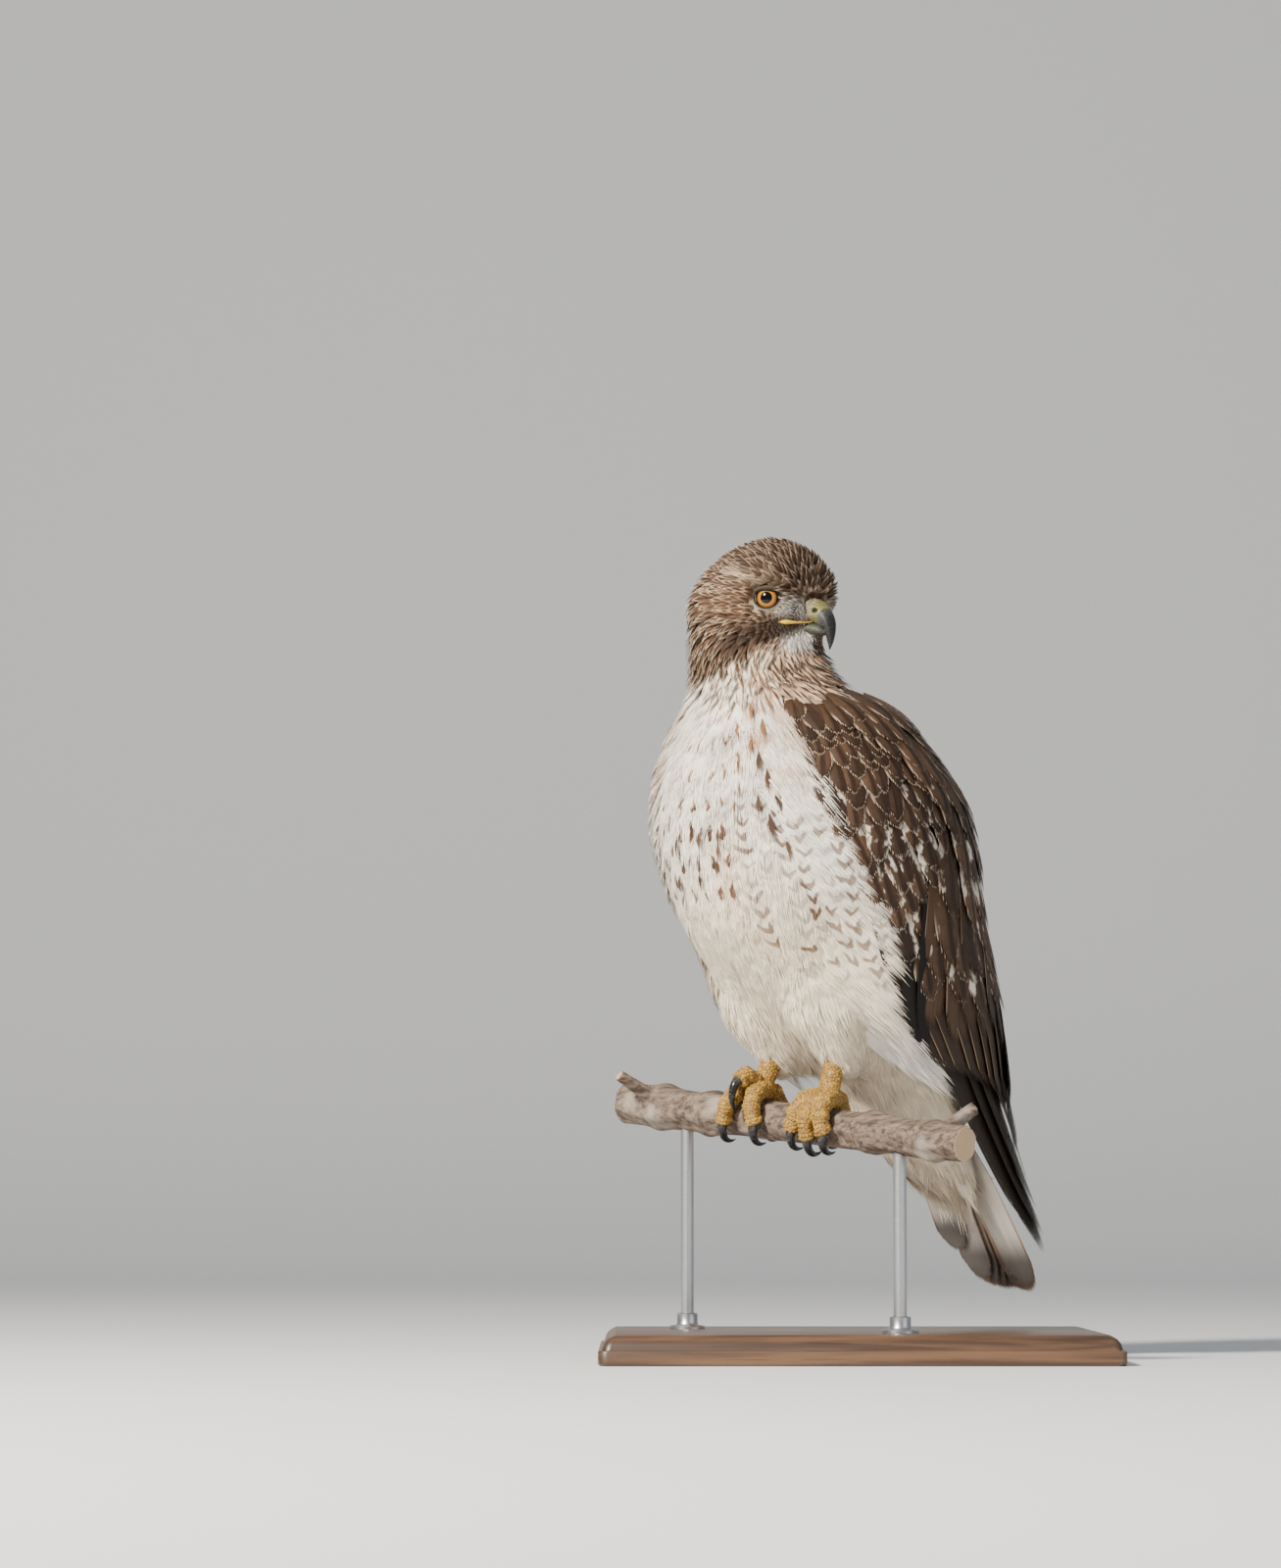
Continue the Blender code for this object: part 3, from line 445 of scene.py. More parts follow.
def value_attribute(mesh, name, values):
    """Stores one number for each point of a mesh."""
    mesh.attributes.new(name, "FLOAT", "POINT").data.foreach_set("value", np.asarray(values, np.float32))


def point_map(mesh, name, places):
    """A UV map that gives each point of a mesh its own place."""
    corners = np.empty(len(mesh.loops), int)
    mesh.loops.foreach_get("vertex_index", corners)
    mesh.uv_layers.new(name=name).data.foreach_set("uv", places[corners].astype(np.float32).ravel())


class Nodes:
    """A node tree being wired: each call adds a node, with its inputs as values or as other sockets."""

    def __init__(self, tree, material=None):
        self.tree, self.material = tree, material

    def join(self, value, socket):
        """Feeds a socket from another one, or sets it to a plain value."""
        if isinstance(value, bpy.types.NodeSocket):
            self.tree.links.new(value, socket)
        else:
            socket.default_value = value

    def add(self, kind, settings=None, **inputs):
        """Any node. An input is named, or given by its number as i0, i1 and so on."""
        node = self.tree.nodes.new(kind)
        for name, value in (settings or {}).items():
            setattr(node, name, value)
        for name, value in inputs.items():
            spot = int(name[1:]) if name[0] == "i" and name[1:].isdigit() else name.replace("_", " ")
            self.join(value, node.inputs[spot])
        return node

    def math(self, operation, *values, clamp=False):
        node = self.add("ShaderNodeMath", {"operation": operation, "use_clamp": clamp})
        for value, socket in zip(values, node.inputs):
            self.join(value, socket)
        return node.outputs[0]

    def plus(self, first, second, clamp=False):
        return self.math("ADD", first, second, clamp=clamp)

    def minus(self, first, second):
        return self.math("SUBTRACT", first, second)

    def times(self, first, second):
        return self.math("MULTIPLY", first, second)

    def scaled(self, value, factor, shift):
        return self.math("MULTIPLY_ADD", value, factor, shift)

    def vector(self, operation, first, **inputs):
        return self.add("ShaderNodeVectorMath", {"operation": operation}, i0=first, **inputs).outputs

    def mix(self, share, first, second, blend="MIX"):
        """Two colours mixed, each a socket or three numbers."""
        node = self.add("ShaderNodeMix", {"data_type": "RGBA", "blend_type": blend})
        for spot, value in ((0, share), (6, first), (7, second)):
            self.join((*value, 1) if isinstance(value, tuple) else value, node.inputs[spot])
        return node.outputs[2]

    def ramp(self, value, low, high):
        """0 at low, 1 at high, and a smooth step between."""
        settings = {"interpolation_type": "SMOOTHSTEP"}
        return self.add("ShaderNodeMapRange", settings, Value=value, From_Min=low, From_Max=high).outputs[0]

    def grey(self, shade):
        return self.add("ShaderNodeCombineColor", i0=shade, i1=shade, i2=shade).outputs[0]

    def place(self):
        """Where a point lies on the object itself."""
        return self.add("ShaderNodeTexCoord").outputs["Object"]

    def mapped(self, place, **changes):
        return self.add("ShaderNodeMapping", Vector=place, **changes).outputs[0]

    def noise(self, place, scale, detail, **more):
        return self.add("ShaderNodeTexNoise", Vector=place, Scale=scale, Detail=detail, **more).outputs["Fac"]

    def stored(self, name, output="Color"):
        return self.add("ShaderNodeAttribute", {"attribute_name": name}).outputs[output]

    def uv(self, name):
        return self.add("ShaderNodeUVMap", {"uv_map": name}).outputs[0]

    def shader(self):
        return self.tree.nodes["Principled BSDF"].inputs

    def finish(self, colour, height=None, strength=0.0, distance=0.0):
        """Wires in the material's colour, and relief so strong and so many metres deep."""
        self.join(colour, self.shader()["Base Color"])
        if height is not None:
            bump = self.add("ShaderNodeBump", Height=height, Strength=strength, Distance=distance)
            self.join(bump.outputs[0], self.shader()["Normal"])
        return self.material


def new_group(name, inputs, outputs, tree_kind="ShaderNodeTree"):
    """An empty group with these sockets: its wires, its input sockets and its output node."""
    tree = bpy.data.node_groups.new(name, tree_kind)
    for label, kind, value in inputs:
        socket = tree.interface.new_socket(label, in_out="INPUT", socket_type=f"NodeSocket{kind}")
        if value is not None:
            socket.default_value = value
    for label, kind in outputs:
        tree.interface.new_socket(label, in_out="OUTPUT", socket_type=f"NodeSocket{kind}")
    wires = Nodes(tree)
    return wires, tree.nodes.new("NodeGroupInput").outputs, tree.nodes.new("NodeGroupOutput")


def new_material(name, roughness, **constants):
    """A new material's wires. What is the same all over is set on the shader's own sockets."""
    made = bpy.data.materials.new(name)
    made.use_nodes = True
    wires = Nodes(made.node_tree, made)
    for label, value in {"Roughness": roughness, **constants}.items():
        wires.shader()[label.replace("_", " ")].default_value = value
    return wires


def reopened(material):
    """A material's wires, and the colour that it has so far."""
    wires = Nodes(material.node_tree, material)
    return wires, wires.shader()["Base Color"].links[0].from_socket


def declared(made, slot_name, *replaced):
    """Tells the frame what a piece rides on, and the nodes that it replaces; its slot name is not used."""
    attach(made, "root")
    if replaced:
        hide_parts(*replaced)
    return made


BODY_GIRTH = 85  # millimetres of coat to a turn of one radian round the body
COLUMN_WIDE, ROW_HIGH = 10.5, 18  # millimetres from one shaft, and one row of marks, to the next


def coat_map(points):
    """Places unrolled round the body's middle line and down it, in decimetres."""
    return np.stack((np.radians(round_body(points)) * BODY_GIRTH, points[:, 2]), 1) / 100


def body_marks_group():
    """The drops, hair lines and bars of the breast and belly, laid out shaft by shaft."""
    inputs = [("Drop", "Float", 0.0), ("Bars", "Float", 0.0)]
    wires, given, output = new_group("body_marks", inputs, [("Mark", "Float")])
    coat = wires.uv("coat")
    wander = wires.add("ShaderNodeTexNoise", Vector=coat, Scale=7.0, Detail=2.0).outputs["Color"]
    wander = wires.vector("SUBTRACT", wander, i1=(0.5, 0.5, 0.5))[0]
    wander = wires.vector("SCALE", wander, Scale=0.12)[0]
    around, up, _ = wires.add("ShaderNodeSeparateXYZ", i0=wires.vector("ADD", coat, i1=wander)[0]).outputs
    column_at = wires.times(around, 100 / COLUMN_WIDE)
    column = wires.math("FLOOR", column_at)
    aside = wires.minus(wires.minus(column_at, column), 0.5)
    shift = wires.add("ShaderNodeTexWhiteNoise", {"noise_dimensions": "1D"}, W=column).outputs["Value"]
    row_at = wires.plus(wires.times(up, -100 / ROW_HIGH), wires.times(shift, 7.0))
    row = wires.math("FLOOR", row_at)
    along = wires.minus(row_at, row)
    cell = wires.add("ShaderNodeCombineXYZ", i0=column, i1=row).outputs[0]
    luck = wires.add("ShaderNodeTexWhiteNoise", {"noise_dimensions": "2D"}, Vector=cell).outputs["Value"]
    aside = wires.plus(aside, wires.scaled(luck, 0.3, -0.15))
    aside = wires.times(wires.math("ABSOLUTE", aside), COLUMN_WIDE)
    swell = wires.times(wires.ramp(along, 0.1, 0.65), wires.minus(1.0, wires.ramp(along, 0.72, 0.9)))
    broad = wires.times(given["Drop"], wires.scaled(luck, 0.9, 0.5))
    broad = wires.times(broad, swell)
    inside = wires.minus(broad, aside)
    drop = wires.ramp(inside, -0.12, 0.3)
    # Chevrons: bars that point up along each shaft
    arm = wires.plus(wires.times(along, 2.0), wires.times(aside, 0.11))
    wave = wires.minus(arm, wires.math("FLOOR", arm))
    band = wires.minus(1.0, wires.times(wires.math("ABSOLUTE", wires.minus(wave, 0.5)), 3.7))
    short = wires.minus(1.0, wires.ramp(aside, 3.0, 4.8))
    bar = wires.times(wires.ramp(band, 0.0, 0.5), wires.times(short, given["Bars"]))
    bar = wires.times(bar, wires.ramp(luck, -0.1, 0.6))
    mark = wires.math("MAXIMUM", drop, bar, clamp=True)
    wires.join(mark, output.inputs["Mark"])
    return wires.tree


body_marks = body_marks_group()


def marked_colour(wires):
    """The stored colours, with the marks of the breast and belly over them."""
    middle, streak = wires.stored("middle"), wires.stored("streak")
    widths = wires.add("ShaderNodeSeparateColor", i0=wires.stored("marks")).outputs
    mark = wires.add("ShaderNodeGroup", {"node_tree": body_marks}, Drop=widths[0], Bars=widths[1]).outputs[0]
    return wires.mix(mark, middle, streak)


def skin_material():
    """The skin and down, tinted and marked as the feathers that grow there."""
    wires = new_material("skin_and_down", 0.85, Sheen_Weight=0.3, Sheen_Roughness=0.5)
    down = wires.noise(wires.place(), 900.0, 5.0)
    colour = wires.mix(wires.ramp(down, 0.35, 0.75), marked_colour(wires), (0.7, 0.66, 0.6), "MULTIPLY")
    return wires.finish(colour, down, 0.6, 0.001)


skin_marks = markings(skin_points)
colour_attribute(skin.data, "middle", skin_marks[0])
colour_attribute(skin.data, "streak", skin_marks[2])
colour_attribute(skin.data, "marks", np.stack(skin_marks[3:], 1))
point_map(skin.data, "coat", coat_map(skin_points))
skin.data.materials.append(skin_material())
declared(skin, "feather_white", *FLESH_NODES)


# --- The small feathers of the head and body ---
# Each contour feather is a thin vane of barbs, rooted in the skin and lying over the next one down.
# They are smallest on the face, pointed on the nape and neck, and loose and silky on the breast.

BEAK_ROOT = (36, 0, -8)
EYE_MIDDLE = np.array((8.8, 18.4, -0.8))
BAKE_PATCH = 0.003  # how much of the bake map one feather takes up
COAT_COLOURS = ("middle", "rim", "streak", "marks")
# Where each region of the coat ends, as heights
NECK_LOW, BREAST_LOW, BELLY_LOW, LEGS_LOW = 402, 318, 232, 118


def lie(points, normals):
    """The way the feathers point: away from the beak on the head, and down the body below it."""
    here = smooth(BODY_STATIONS, points[:, 2])
    below = smooth(BODY_STATIONS, points[:, 2] - 5)
    down = unit(np.column_stack((below[:, :2] - here[:, :2], np.full(len(points), -5.0))))
    head = in_head(points)
    away = unit(head - np.array(BEAK_ROOT)) @ HEAD_TURN.T
    share = ease(420, 452, points[:, 2] + 0.3 * np.clip(head[:, 0], -40, 30)) * ease(-58, -10, head[:, 0])
    way = away * share[:, None] + down * (1 - share)[:, None]
    way = way - normals * np.sum(way * normals, axis=1)[:, None]
    return unit(way)


def feather_group():
    """The shader group for one feather's pattern, from its own UV map and its stored colours."""
    inputs = [("Barbs", "Float", 40.0), ("Relief", "Float", 1.0), ("Bands", "Float", 5.0)]
    wires, given, output = new_group("feather_pattern", inputs, [("Color", "Color"), ("Height", "Float")])
    middle, blotched = wires.stored("middle"), wires.stored("middle", "Alpha")
    rim, streak = wires.stored("rim"), wires.stored("streak")
    edge = wires.stored("edge", "Fac")
    widths = wires.add("ShaderNodeSeparateColor", i0=wires.stored("marks")).outputs
    seed = wires.stored("marks", "Alpha")
    across, along, _ = wires.add("ShaderNodeSeparateXYZ", i0=wires.uv("vane")).outputs
    aside = wires.math("ABSOLUTE", wires.scaled(across, 2.0, -1.0))
    shifted = wires.add("ShaderNodeCombineXYZ", i0=across, i1=along, i2=wires.times(seed, 50.0)).outputs[0]
    mottle = wires.noise(shifted, 5.0, 3.0)
    ragged = wires.scaled(mottle, 2.0, -1.0)
    # White blotches at the base of the vane
    base_white = wires.times(wires.ramp(along, 0.95, 0.5), blotched)
    beside = wires.ramp(aside, 0.15, 0.6)
    blotch = wires.plus(mottle, wires.scaled(base_white, 0.42, -0.42))
    blotch = wires.plus(blotch, wires.scaled(beside, 0.14, -0.12))
    colour = wires.mix(wires.times(wires.ramp(blotch, 0.44, 0.58), blotched), middle, (0.66, 0.58, 0.49))
    # Streak: a drop along the shaft, broadest before the tip
    swell = wires.times(wires.ramp(along, 0.0, 0.6), wires.minus(1.0, wires.ramp(along, 0.78, 1.0)))
    reach = wires.times(widths[0], wires.scaled(swell, 0.8, 0.2))
    inside = wires.minus(reach, wires.scaled(ragged, 0.1, aside))
    colour = wires.mix(wires.ramp(inside, -0.06, 0.16), colour, streak)
    # Bars across the vane
    chevron = wires.plus(along, wires.times(aside, 0.13))
    chevron = wires.scaled(mottle, 0.12, chevron)
    turns = wires.times(wires.times(chevron, given["Bands"]), 6.283)
    wave = wires.math("SINE", wires.plus(turns, wires.times(seed, 2.5)))
    bar_share = wires.times(wires.ramp(wave, 0.25, 0.85), widths[1])
    bar_share = wires.times(bar_share, wires.ramp(aside, 1.0, 0.6))
    colour = wires.mix(bar_share, colour, streak)
    # Rim: near the margin, uneven as the barbs wear
    far = wires.plus(edge, wires.times(ragged, wires.times(widths[2], 0.7)))
    rim_share = wires.ramp(wires.math("DIVIDE", far, wires.math("MAXIMUM", widths[2], 0.01)), 1.15, 0.55)
    rim_share = wires.times(rim_share, wires.ramp(along, 0.35, 0.8))
    colour = wires.mix(rim_share, colour, rim)
    # Barbs slant out from the shaft
    slant = wires.plus(along, wires.times(aside, -0.35))
    line = wires.math("SINE", wires.times(slant, wires.times(given["Barbs"], 6.283)))
    shaft = wires.ramp(aside, 0.09, 0.0)
    shade = wires.scaled(line, 0.07, wires.scaled(mottle, 0.5, 0.75))
    colour = wires.mix(1.0, colour, wires.grey(shade), "MULTIPLY")
    height = wires.times(wires.plus(wires.times(line, 0.3), shaft), given["Relief"])
    wires.join(colour, output.inputs["Color"])
    wires.join(height, output.inputs["Height"])
    return wires.tree


feather_pattern = feather_group()


def feather_material(name, barbs, roughness, relief, bands=5.0, **constants):
    """A plumage finish made from the shared pattern."""
    constants = {"Specular_IOR_Level": 0.25, **constants}
    wires = new_material(name, roughness, **constants)
    settings = {"node_tree": feather_pattern}
    pattern = wires.add("ShaderNodeGroup", settings, Barbs=barbs, Relief=relief, Bands=bands).outputs
    return wires.finish(pattern["Color"], pattern["Height"], 0.35, 0.0003)


def soft_material():
    """The silky white plumage, whose drops and bars run from feather to feather."""
    wires = new_material("soft_plumage", 0.75, Sheen_Weight=0.12, Specular_IOR_Level=0.25)
    drawn = wires.mapped(wires.uv("coat"), Scale=(60, 6, 1))
    hairs = wires.noise(drawn, 2.0, 3.0)
    colour = wires.mix(1.0, marked_colour(wires), wires.grey(wires.scaled(hairs, 0.4, 0.8)), "MULTIPLY")
    return wires.finish(colour, hairs, 0.3, 0.0005)


def vanes(roots, run, bend, root_out, tip_out, length, width, **form):
    """Feathers as strips of barbs: arrays of points, their places on the vane, and the margin's distance.

    A feather's middle line is root + run * s + bend * s * s. Form holds the number of strips and of
    segments, how the outline tapers, how far the tips part, and how high the feather stands.
    """
    count, strips, segments, draw = len(roots), form["strips"], form["segments"], form["draw"]
    sizes = (length, width, *(form.get(word, 0.0) for word in ("rise", "sink", "lift")))
    length, width, rise, sink, lift = (np.broadcast_to(size, count)[:, None, None] for size in sizes)
    centre = (np.arange(strips) + 0.5) / strips * 2 - 1
    share = np.linspace(0, 1, segments + 1)
    ends = 1 - form["round"] * np.abs(centre) ** form["power"]
    ends = ends * (1 - form["ragged"] * draw.random((count, strips)))
    s = ends[:, :, None] * share
    fan = form["root_width"] + (1 - form["root_width"]) * ease(0, 0.4, s)
    fan = fan * (1 - form["taper"] * s**2)
    thin = np.clip((1 - share) / (1 - form["split"]), 0, 1) ** 0.7
    sway = form["fray"] * draw.normal(size=(count, strips, 1)) * ease(form["split"], 1, share)
    middle = centre[None, :, None] * fan + sway
    half = thin * fan / strips * form.get("overlap", 1.08)
    across = np.stack((middle - half, middle + half), -1)
    far = s[..., None]
    parts = (roots, run, bend, root_out, tip_out)
    roots, run, bend, root_out, tip_out = (part[:, None, None] for part in parts)
    out = unit(root_out * (1 - far) + tip_out * far)
    aside = unit(np.cross(out, unit(run + 2 * bend * far)))
    line = roots + run * far + bend * far**2
    rise = rise * (1 - (1 - s) ** 2) - sink * (1 - s) ** 3 + lift
    rise = rise + form["loose"] * draw.normal(size=(count, strips, 1)) * s
    half_width = width[..., None] / 2
    place = line[..., None, :] + aside[..., None, :] * (across * half_width)[..., None]
    camber = form["camber"] * half_width * across**2
    lean = form.get("lean", 0.0) * across * half_width
    place = place + out[..., None, :] * (rise[..., None] - camber - lean)[..., None]
    barb = centre[:, None, None] + np.stack((-thin, thin), -1) / strips
    barb = np.broadcast_to(barb, place.shape[:-1])
    beside = (1 - np.abs(barb)) * half_width * fan[..., None]
    before = (ends[:, :, None] - s) * length
    edge = np.minimum(beside, before[..., None])

    def pairs_and_tip(values):
        """Each strip's values: pairs of points, then one at its tip."""
        pairs = values[:, :, :-1].reshape(count, strips, 2 * segments, -1)
        return np.concatenate((pairs, values[:, :, -1:].mean(axis=3).reshape(count, strips, 1, -1)), 2)

    points = pairs_and_tip(place).reshape(-1, 3)
    along = pairs_and_tip(np.broadcast_to(far, barb.shape)).ravel()
    vane_uv = np.stack((pairs_and_tip(barb).ravel() / 2 + 0.5, along), 1)
    return points, vane_uv, pairs_and_tip(edge).ravel(), strips, segments


def strip_loops(count, segments):
    """The corners of the faces of so many strips, and how many corners each face has."""
    each = 2 * segments + 1
    corners, sizes = [], []
    for k in range(segments - 1):
        corners += [2 * k, 2 * k + 1, 2 * k + 3, 2 * k + 2]
        sizes.append(4)
    corners += [2 * segments - 2, 2 * segments - 1, 2 * segments]
    sizes.append(3)
    starts = np.arange(count)[:, None] * each
    return (starts + np.array(corners)).ravel(), np.tile(sizes, count)


class Plumage:
    """A piece of the coat being filled, feather by feather, before it becomes one mesh."""

    def __init__(self, name, material, slot_name):
        self.name, self.material, self.slot_name = name, material, slot_name
        self.batches, self.base = [], 0

    def add(self, grown, spots, marks, draw):
        """Takes in feathers: their vanes, their places in the bake map and their markings."""
        points, vane_uv, edge, strips, segments = grown
        each = strips * (2 * segments + 1)
        corners, sizes = strip_loops(len(spots) * strips, segments)
        bake_uv = np.repeat(spots, each, axis=0) + (vane_uv - 0.5) * BAKE_PATCH
        batch = {"points": points, "corners": corners + self.base, "sizes": sizes}
        batch.update({"OFBake": bake_uv, "vane": vane_uv, "edge": edge})
        middle, rim, streak, streak_width, bars, rim_width, *blotched = marks
        by_point = 1 if len(middle) == len(spots) else each
        light, seed = draw.normal(1, 0.09, (len(spots), 1)), draw.random(len(spots))
        light, seed = np.repeat(light, by_point, axis=0), np.repeat(seed, by_point)
        blotched = blotched[0] if blotched else np.zeros(len(middle))
        for name, values in (("middle", middle), ("rim", rim), ("streak", streak)):
            batch[name] = np.concatenate((np.clip(values * light, 0, 1), blotched[:, None]), 1)
        batch["marks"] = np.stack((streak_width, bars, rim_width, seed), 1)
        for name in COAT_COLOURS:
            batch[name] = np.repeat(batch[name], each // by_point, axis=0)
        self.batches.append(batch)
        self.base += len(points)

    def finish(self, *replaced):
        """Makes the mesh, with its maps and its stored colours."""
        whole = {name: np.concatenate([batch[name] for batch in self.batches]) for name in self.batches[0]}
        points, corners, sizes = whole["points"], whole["corners"], whole["sizes"]
        mesh = bpy.data.meshes.new(self.name)
        mesh.vertices.add(len(points))
        mesh.vertices.foreach_set("co", in_room(points).astype(np.float32).ravel())
        mesh.loops.add(len(corners))
        mesh.loops.foreach_set("vertex_index", corners.astype(np.int32))
        mesh.polygons.add(len(sizes))
        starts = np.concatenate(([0], np.cumsum(sizes)[:-1]))
        mesh.polygons.foreach_set("loop_start", starts.astype(np.int32))
        mesh.update(calc_edges=True)
        mesh.validate()
        point_map(mesh, "OFBake", whole["OFBake"])
        point_map(mesh, "vane", whole["vane"])
        point_map(mesh, "coat", coat_map(points))
        value_attribute(mesh, "edge", whole["edge"])
        for name in COAT_COLOURS:
            colour_attribute(mesh, name, whole[name])
        mesh.materials.append(self.material)
        mesh.shade_smooth()
        declared(placed(self.name, mesh), self.slot_name, *replaced)


TRIES = 5  # places tried for each feather, of which those with room are kept


def spread_roots(keep, spacing, draw):
    """Places on the skin about so far apart, each with its normal. The spacing may vary by place."""
    gap = spacing if callable(spacing) else lambda points: np.full(len(points), float(spacing))
    corners = skin_points[skin_triangles]
    middles = corners.mean(axis=1)
    area = np.linalg.norm(np.cross(corners[:, 1] - corners[:, 0], corners[:, 2] - corners[:, 0]), axis=1) / 2
    weight = area / gap(middles) ** 2 * keep(middles)
    tried = int(weight.sum() * TRIES)
    chosen = draw.choice(len(middles), tried, p=weight / weight.sum())
    first, second = draw.random(tried), draw.random(tried)
    flip = first + second > 1
    first, second = np.where(flip, 1 - first, first), np.where(flip, 1 - second, second)
    share = np.stack((1 - first - second, first, second), 1)
    places = np.einsum("ij,ijk->ik", share, corners[chosen])
    normals = unit(np.einsum("ij,ijk->ik", share, skin_normals[skin_triangles][chosen]))
    room = gap(places)
    tree = KDTree(tried)
    for k, place in enumerate(places):
        tree.insert(place, k)
    tree.balance()
    free = np.ones(tried, bool)
    for k in range(tried):
        if free[k]:
            for _, other, _ in tree.find_range(places[k], room[k]):
                if other > k:
                    free[other] = False
    return places[free], normals[free]


def bake_spots(places):
    """Where feathers rooted at these places lie in the bake map: unrolled round the body."""
    return np.stack((round_body(places) / 370 + 0.5, (places[:, 2] - 90) / 430), 1)


def grow_on_skin(plumage, places, normals, length, width, rise, draw, marks=None, **form):
    """Feathers rooted at places on the skin, bent to follow it as far as their tips."""
    follow = np.broadcast_to(form.pop("follow", 1.0), len(places))
    way = lie(places, normals)
    turn = form.pop("stray", 0.08) * draw.normal(size=(len(places), 1))
    way = unit(way + np.cross(normals, way) * turn)
    run = way * length[:, None]
    ends, tip_out = places + run, normals.copy()
    bend = np.zeros_like(places)
    for k, end in enumerate(ends):
        spot, normal, _, _ = skin_tree.find_nearest(end)
        bend[k] = (np.array(spot) - end) * follow[k]
        tip_out[k] = normals[k] + (np.array(normal) - normals[k]) * follow[k]
    by_place = form.pop("by_place", False)
    form.setdefault("sink", 1.0)
    grown = vanes(places, run, bend, normals, unit(tip_out), length, width, rise=rise, draw=draw, **form)
    if marks is None:
        seen = grown[0] if by_place else places + 0.75 * run + 0.56 * bend
        marks = list(markings(seen))
        marks[3] = marks[3] * (1 if by_place else np.where(seen[:, 2] < 401, 0.25, 1))
    plumage.add(grown, bake_spots(places), marks, draw)


def face_keep(points):
    """The face from the cere back past the eyes, without the sockets."""
    eye = either_side(in_head(points)) - EYE_MIDDLE
    aim = np.array((math.cos(math.radians(50)), math.sin(math.radians(50)), 0))
    beside = np.linalg.norm(eye - (eye @ aim)[:, None] * aim, axis=1)
    ahead = ease(3, 8, eye @ np.array((0.82, -0.57, 0))) * np.exp(-(((eye[:, 2] - 1) / 2.6) ** 2))
    clear = ((eye @ aim) < 2) | (beside > 8.6 + 3.2 * ahead - 2.6 * ease(2, 6, eye[:, 2]))
    return (on_head(points) > 0.5) & clear


def face_share(points):
    """1 on the lores and chin by the beak, and less towards the crown and the cheeks."""
    head = in_head(points)
    lores = ease(10, 24, head[:, 0]) * ease(6, -3, head[:, 2] + 0.3 * (24 - head[:, 0]))
    over = ease(19, 11, np.abs(head[:, 1])) * ease(-8, -3, head[:, 2])
    return lores * (1 - 0.65 * ease(-17, -26, head[:, 2])) * (1 - 0.5 * over)


def nape_share(points):
    """1 on the nape and low on the cheeks, 0 on the forehead."""
    head = in_head(points)
    return ease(-2, -36, head[:, 0] + 0.5 * (head[:, 2] + 10))


def head_spacing(points):
    """Closest by the beak, and widest on the nape."""
    return 2.9 - 1.9 * face_share(points) + 0.6 * nape_share(points)


draw = np.random.default_rng(11)
head_plumage = feather_material("head_plumage", 22.0, 0.6, 0.8)
plumage = Plumage("plumage_head", head_plumage, "head_feather")
places, normals = spread_roots(face_keep, head_spacing, draw)
face, nape = face_share(places), nape_share(places)
sides = either_side(in_head(places))
ridge = patch(sides, (28, 15, 0), (9, 12, 10))
lores_edge = patch(sides, (28, 14, -0.5), (6, 7, 5))
grow_on_skin(
    plumage, places, normals,
    length=(11.5 - 8.2 * face + 3.5 * nape) * draw.normal(1, 0.14, len(places)),
    width=(4.3 - 2.5 * face + 0.8 * nape) * draw.normal(1, 0.12, len(places)),
    rise=4.3 - 3.4 * face + 1.4 * nape + 2.4 * ridge + 3.2 * lores_edge,
    lift=draw.normal(0, 1, len(places)) * (0.15 + 0.55 * nape) * (1 - face),
    draw=draw, stray=0.11, strips=7, segments=3, round=0.55, power=1.3, ragged=0.1, root_width=0.5,
    taper=0.35, split=0.6, fray=0.03, loose=0.08, camber=0.35,
)
plumage.finish()


def neck_keep(points):
    """The neck, from under the head to the shoulders."""
    return (on_head(points) <= 0.5) & (points[:, 2] > NECK_LOW)


draw = np.random.default_rng(12)
plumage = Plumage("plumage_neck", head_plumage, "head_feather")
places, normals = spread_roots(neck_keep, lambda points: 3.2 + 1.0 * ease(440, NECK_LOW, points[:, 2]), draw)
low = ease(440, NECK_LOW, places[:, 2])
grow_on_skin(
    plumage, places, normals,
    length=(15 + 6 * low) * draw.normal(1, 0.14, len(places)),
    width=(4.8 + 2.5 * low) * draw.normal(1, 0.1, len(places)),
    rise=6.4 + 0.6 * low, lift=draw.normal(0, 0.7, len(places)), draw=draw,
    strips=8, segments=4, round=0.5, power=1.4, ragged=0.12, root_width=0.4, taper=0.45, split=0.55,
    fray=0.04, loose=0.2, camber=0.25,
)
plumage.finish()


# The front edge of the folded wing: height, angle round the body
WING_FRONT = ((60, 92), (142, 86), (196, 73), (250, 64), (322, 57), (370, 53), (404, 50))


def under_wing(points):
    """True where a folded wing hides the body."""
    angle, height = np.abs(round_body(points)), points[:, 2]
    return (angle > smooth(WING_FRONT, height)[:, 0] + 12) & (angle < 172) & (height < 392) & (height > 150)


def breast_keep(points):
    """The breast, belly and flanks."""
    return (points[:, 2] <= NECK_LOW) & (points[:, 2] > BELLY_LOW) & ~under_wing(points)


